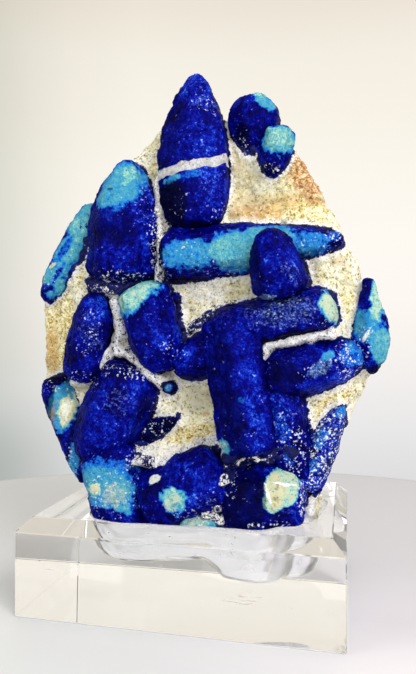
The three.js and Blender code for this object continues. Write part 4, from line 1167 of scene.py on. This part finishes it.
def afghanite():
    """Deep blue grains whose zones run out over cyan and turquoise to mint and cream, with a
    grey-blue bloom, dark pits, painted shade on shaded faces and dark rims, painted light on lit
    faces, and white grains, partly calcite and partly painted glints. speckle makes the edge of
    every zone grainy."""
    f = Finish("blue_and_turquoise_afghanite")
    p = f.places()
    cloud = f.noise(p, 5.5, 3.0, 0.6)
    grain = f.noise(p, 1.4, 3.0, 0.65)
    fine = f.noise(p, 0.5, 2.0, 0.6)
    crumb = f.grains(p, 0.6)
    pale, frost, dusk = f.layer("pale"), f.layer("frost"), f.layer("dusk")
    fleck, cream, amber = f.layer("fleck"), f.layer("cream"), f.layer("amber")
    speckle = (grain - 0.5) * 0.8 + (fine - 0.5) * 0.6 + (crumb - 0.5) * 0.1

    level = cloud.between(0.32, 0.68) * 0.24 + grain * 0.72 + fine * 0.56 + crumb * 0.14
    # Lighter blue zones, and painted light on the lit faces, raise the level.
    level = level + f.layer("lift") * 0.14 - 0.44
    blue = f.ramp(
        level, (0.12, 0, 0, 30), (0.28, 0, 0, 76), (0.42, 1, 3, 112),
        (0.54, 5, 16, 148), (0.67, 18, 54, 194), (0.84, 76, 132, 226),
    )
    light = f.ramp(
        pale + speckle * 0.75 + (cloud - 0.5) * 0.36, (0.2, 8, 30, 160), (0.34, 14, 66, 186),
        (0.46, 26, 110, 198), (0.58, 46, 136, 194), (0.7, 66, 150, 182),
        (0.82, 92, 168, 180), (0.92, 130, 192, 186), (1.0, 178, 202, 182),
    )
    colour = f.mix((pale + speckle * 0.8).between(0.2, 0.42), blue, light)
    creamy = (cream + speckle * 0.8).between(0.25, 0.8)
    colour = f.mix(creamy * 0.85, colour, tone(206, 202, 160))
    colour = f.mix(amber * (fine + 0.5 - grain).between(0.3, 0.6), colour, tone(150, 116, 66))
    colour = f.mix((f.layer("snow") + speckle).between(0.3, 0.8), colour, tone(236, 240, 236))
    bloom = (frost + speckle * 1.4).between(0.2, 0.95)
    frosty = f.ramp(
        fine * 0.5 + crumb * 0.25 + 0.12, (0.3, 30, 56, 128), (0.5, 74, 108, 168),
        (0.62, 150, 176, 206),
    )
    colour = f.mix(bloom * 0.75, colour, frosty)
    # Darker blue zones, and painted shade on the shaded faces, flanks and lower edges.
    dark = (dusk + speckle * 0.8).between(0.2, 0.95)
    colour = f.mix(dark * 0.9, colour, tone(0, 0, 20))
    pits = (0.42 - fine * 0.6 - grain * 0.4).between(0.0, 0.08)
    colour = f.mix(pits * 0.6, colour, tone(0, 1, 30))
    # White grains, partly calcite and partly painted glints of tiny facets.
    white = (crumb + fleck * 0.38 + (fine - 0.5) * 1.1 + (grain - 0.5) * 0.8 - 1.13).between(0.0, 0.1)
    calcite_grains_and_glints = f.ramp(grain, (0.38, 128, 150, 196), (0.58, 226, 230, 234))
    colour = f.mix(white * (fleck * 0.7 + 0.3), colour, calcite_grains_and_glints)
    bump = grain * 0.7 + fine * 0.55 + crumb * 0.12
    return f.surface(colour, grain * 0.3 + 0.3, bump, 0.45, **{"Specular IOR Level": 0.03})


def marble():
    """White sugary calcite, creamy in clouds, with amber and rust stains, grey patches, whiter
    crusts with a violet tint, brown specks over all, and dark blue grains and painted contact
    shade along the crystals."""
    f = Finish("white_marble")
    p = f.places()
    cloud = f.noise(p, 7.0, 4.0, 0.6)
    grain = f.noise(p, 1.6, 4.0, 0.7)
    fine = f.noise(p, 0.55, 2.0, 0.6)
    crumb = f.grains(p, 0.75)
    amber, rust, grey = f.layer("amber"), f.layer("rust"), f.layer("grey")
    snow, soot = f.layer("snow"), f.layer("soot")
    speckle = (grain - 0.5) * 0.8 + (fine - 0.5) * 0.7 + (crumb - 0.5) * 0.12
    sugar = grain * 0.55 + fine * 0.4 + crumb * 0.1
    base = f.ramp(
        sugar, (0.4, 112, 98, 62), (0.455, 196, 187, 144), (0.51, 227, 223, 190),
        (0.565, 249, 247, 232), (0.63, 255, 255, 250),
    )
    colour = f.mix((cloud + speckle * 0.5).between(0.4, 0.7) * 0.55, base, tone(212, 202, 144))
    ochre = f.ramp(
        sugar, (0.4, 106, 78, 26), (0.46, 192, 168, 92), (0.52, 224, 206, 138), (0.59, 252, 246, 212),
    )
    colour = f.mix((amber + speckle * 0.7).between(0.1, 0.8) * 0.9, colour, ochre)
    brown = f.ramp(sugar, (0.41, 92, 52, 18), (0.53, 196, 138, 72), (0.64, 240, 218, 172))
    colour = f.mix((rust + speckle * 2.2).between(0.4, 0.85) * 0.9, colour, brown)
    colour = f.mix((grey + speckle * 0.6).between(0.1, 1.0) * 0.55, colour, tone(164, 162, 146))
    crust = f.ramp(fine * 0.7 + crumb * 0.15 + 0.08, (0.34, 190, 190, 180), (0.52, 250, 250, 248))
    colour = f.mix((snow + speckle * 0.9).between(0.2, 0.9) * 0.8, colour, crust)
    specks = (crumb * 0.3 - fine * 0.8 - grain * 0.5 + 0.22).between(0.0, 0.06)
    colour = f.mix(specks * 0.7, colour, tone(92, 70, 36))
    colour = f.mix(f.layer("violet") * 0.5, colour, tone(158, 162, 200))
    # Dark blue grains, and the painted contact shade along the crystals.
    black = (soot * 0.6 + (crumb - 0.5) * 0.3 - speckle * 0.9 - 0.26).between(0.0, 0.14)
    dark_grains = f.ramp(grain, (0.4, 2, 2, 34), (0.62, 10, 24, 118))
    colour = f.mix(black * soot.between(0.02, 0.1), colour, dark_grains)
    bump = grain * 0.8 + fine * 0.5 + crumb * 0.1
    return f.surface(colour, grain * 0.3 + 0.4, bump, 0.55, **{"Specular IOR Level": 0.2})


ACRYLIC_INDEX, POLISHED = 1.49, 0.003
# Where the block's front is scratched and its corner scuffed, as middle and half sizes, and how
# much closer the noise of the scratches is drawn along x, y and z.
MARKS = ((22, -37.5, 12), (17, 4, 3.4)), ((-38, -37.5, 16), (9, 4, 6))
SCUFF = (50, -37.5, 1), (6, 6, 4.5)
STROKE = (0.16, 0.16, 1.4)


def acrylic():
    """Clear cast acrylic: almost colourless and polished, with dust, short scratches in two
    places of its front, a scuffed corner, and a polish that is cloudy where the trough is, whose
    wall also glows with painted light."""
    f = Finish("clear_acrylic")
    p = f.places()
    dust = (f.grains(p, 0.9) - 0.985).between(0.0, 0.01)
    drawn_out = f.node("VectorMath", {"operation": "MULTIPLY"}, {0: p, 1: STROKE})
    strokes = f.noise(drawn_out, 1.0, 3.0, 0.7)
    marks = f.near(p, *MARKS[0]).most(f.near(p, *MARKS[1]) * 0.9)
    scuff = f.near(p, *SCUFF) * f.noise(p, 1.6, 3.0).between(0.4, 0.6)
    scratches = (strokes + marks * 0.16 - 0.69).between(0.0, 0.05) * marks.between(0.0, 0.2)
    scratched = scratches.most(scuff)
    haze = f.layer("haze")
    clear = f.mix(haze * 2.0, (0.978, 0.98, 0.984, 1), (0.5, 0.5, 0.51, 1))
    colour = f.mix(scratched * 0.5, clear, tone(196, 178, 168))
    roughness = dust * 0.2 + scratched * 0.5 + haze * 2.2 + POLISHED
    # Painted light: the trough's wall glows through the emission.
    return f.surface(colour, roughness, **{
        "Transmission Weight": 1.0, "IOR": ACRYLIC_INDEX, "Emission Strength": 1.0,
        "Emission Color": f.mix(haze, (0, 0, 0, 1), (0.95, 0.96, 1.0, 1)),
    })


UNDER_GLOW = 0.42  # strength of the painted glow on the table under the clear block, for the light it gathers


def table_top():
    """White laminate with painted shade and light: greyer towards its far side, a little warmer and
    brighter on the near right and the far left, and a painted glow under the clear block for the
    light that it gathers there."""
    f = Finish("white_table")
    p = f.places()
    depth = f.node("SeparateXYZ", {}, {0: p}, "Y")
    # Painted shade and light: greyer to the far side, brighter on the near right and the far left.
    white = f.ramp(
        depth * 0.004 + 0.7, (0.3, 240, 242, 246), (0.52, 244, 245, 249), (0.64, 226, 228, 236),
        (0.9, 230, 232, 240),
    )
    side = f.along(p, RIGHTWARD) * 0.004 + 0.5
    near = f.ramp(side, (0.1, 240, 242, 238), (0.45, 243, 243, 242), (0.75, 252, 247, 250))
    far = f.ramp(side, (0.1, 255, 255, 250), (0.45, 249, 249, 246), (0.75, 240, 238, 240))
    # The far tint begins nearer on the left than on the right.
    tint = f.mix((depth + 45 - side.clip() * 44).between(0, 50), near, far)
    white = f.mix(1.0, white, tint, "MULTIPLY")
    off = f.node("VectorMath", {"operation": "ABSOLUTE"}, {0: p})
    inside = [
        (limit - f.node("SeparateXYZ", {}, {0: off}, axis)).between(-1.0, 3.0)
        for axis, limit in zip("XY", BLOCK_HALF)
    ]
    return f.surface(white, 0.45, **{
        "Specular IOR Level": 0.2, "Emission Strength": UNDER_GLOW,
        "Emission Color": f.mix(inside[0] * inside[1], (0, 0, 0, 1), (1.0, 0.98, 0.95, 1)),
    })


# ---- The studio

def camera():
    """The camera, its lens from the focal length in pixels of an upright image."""
    data = bpy.data.cameras.new("camera")
    data.sensor_width = SENSOR
    data.lens = FOCAL_PIXELS * SENSOR / IMAGE_HEIGHT
    data.clip_start = 0.01
    made = placed("camera", data)
    made.location = CAMERA_PLACE
    made.rotation_euler = (math.radians(CAMERA_TILT), 0, math.radians(CAMERA_TURN))
    bpy.context.scene.camera = made


def table():
    """A round white top with a softly rounded rim, a hair below the block: the profile of share
    of the radius and height, carried round its centre."""
    angle = np.linspace(0, 2 * np.pi, 181)[:-1, None]
    profile = np.array([
        [0.5, 0], [0.97, 0], [0.993, -0.3], [0.998, -1.5], [1.0, -4], [1.0, -16], [0.995, -19],
        [0.9, -20],
    ])
    reach, z = TABLE_RADIUS * profile[:, 0], profile[:, 1] - TABLE_GAP
    x = TABLE_CENTRE[0] + reach * np.cos(angle)
    y = TABLE_CENTRE[1] + reach * np.sin(angle)
    grid = np.stack([x, y, np.broadcast_to(z, x.shape)], -1).transpose(1, 0, 2)
    ends = [[*TABLE_CENTRE, z[0]], [*TABLE_CENTRE, z[-1]]]
    closed_mesh("table", grid, ends, {}, table_top())


def backdrop():
    """A warm plain wall all round: brightest a little above eye level, greyer low down, darker
    to the far left of the front view, darkest low on that side, and darker behind the camera."""
    world = bpy.data.worlds.new("studio")
    world.use_nodes = True
    bpy.context.scene.world = world
    f = Finish("studio", world.node_tree)
    way = f.node("TexCoord", output="Generated")
    height = f.node("SeparateXYZ", {}, {0: way}, "Z")
    right, away = f.along(way, RIGHTWARD), f.along(way, AWAY)
    wall = f.ramp(
        height * 0.5 + 0.5, (0.25, 196, 196, 197), (0.38, 220, 220, 222),
        (0.41, 229, 229, 230), (0.432, 235, 235, 235), (0.465, 243, 241, 239),
        (0.5, 250, 246, 240), (0.53, 255, 250, 244), (0.58, 255, 251, 243),
        (0.625, 253, 249, 239), (0.668, 249, 244, 232), (0.707, 245, 240, 228),
        (0.737, 237, 229, 216), (0.8, 228, 221, 208), (1.0, 220, 214, 204),
    )
    shade = f.ramp(
        right + 0.5, (0.1, 196, 198, 196), (0.18, 222, 225, 222), (0.24, 238, 239, 237),
        (0.3, 248, 248, 247), (0.4, 255, 255, 255), (0.8, 254, 253, 253),
    )
    far_side = f.ramp(away * 0.5 + 0.5, (0.3, *ROOM_BEHIND), (0.62, 255, 255, 255))
    colour = f.mix(1.0, f.mix(1.0, wall, shade, "MULTIPLY"), far_side, "MULTIPLY")
    low_left = (-0.07 - height).between(0.0, 0.13) * (-0.16 - right).between(0.0, 0.22)
    colour = f.mix(low_left * 0.45, colour, tone(140, 150, 140))
    light = f.node("Background", {}, {"Color": colour, "Strength": 1.0})
    f.node("OutputWorld", {}, {"Surface": light})


def lamp(name, place, size, power, colour):
    """A soft round lamp that points at the middle of the specimen."""
    data = bpy.data.lights.new(name, "AREA")
    data.shape = "DISK"
    data.size, data.energy, data.color = size, power, colour
    made = placed(name, data)
    made.location = place
    x, y, z = np.subtract(LAMPS_AIM, place)
    made.rotation_euler = (math.atan2(math.hypot(x, y), -z), 0, math.atan2(y, x) - math.pi / 2)


# ---- Everything in place

camera()
bpy.context.scene.view_settings.view_transform = "Standard"
backdrop()
table()
lamp("window", (0.42, -0.42, 0.46), 0.34, 3.4, (1.0, 0.98, 0.95))
lamp("fill", (-0.45, -0.35, 0.4), 0.4, 1.0, (0.96, 0.98, 1.0))
lamp("front", (0.06, -0.75, 0.3), 0.5, 1.6, (1.0, 0.99, 0.97))

stone, calcite = afghanite(), marble()
marble_piece(calcite)
vein_piece(calcite)
for number, crystal in enumerate(CRYSTALS):
    crystal_piece(crystal, FIRST_SEED + SEED_STEP * number, stone)
block_piece(acrylic())
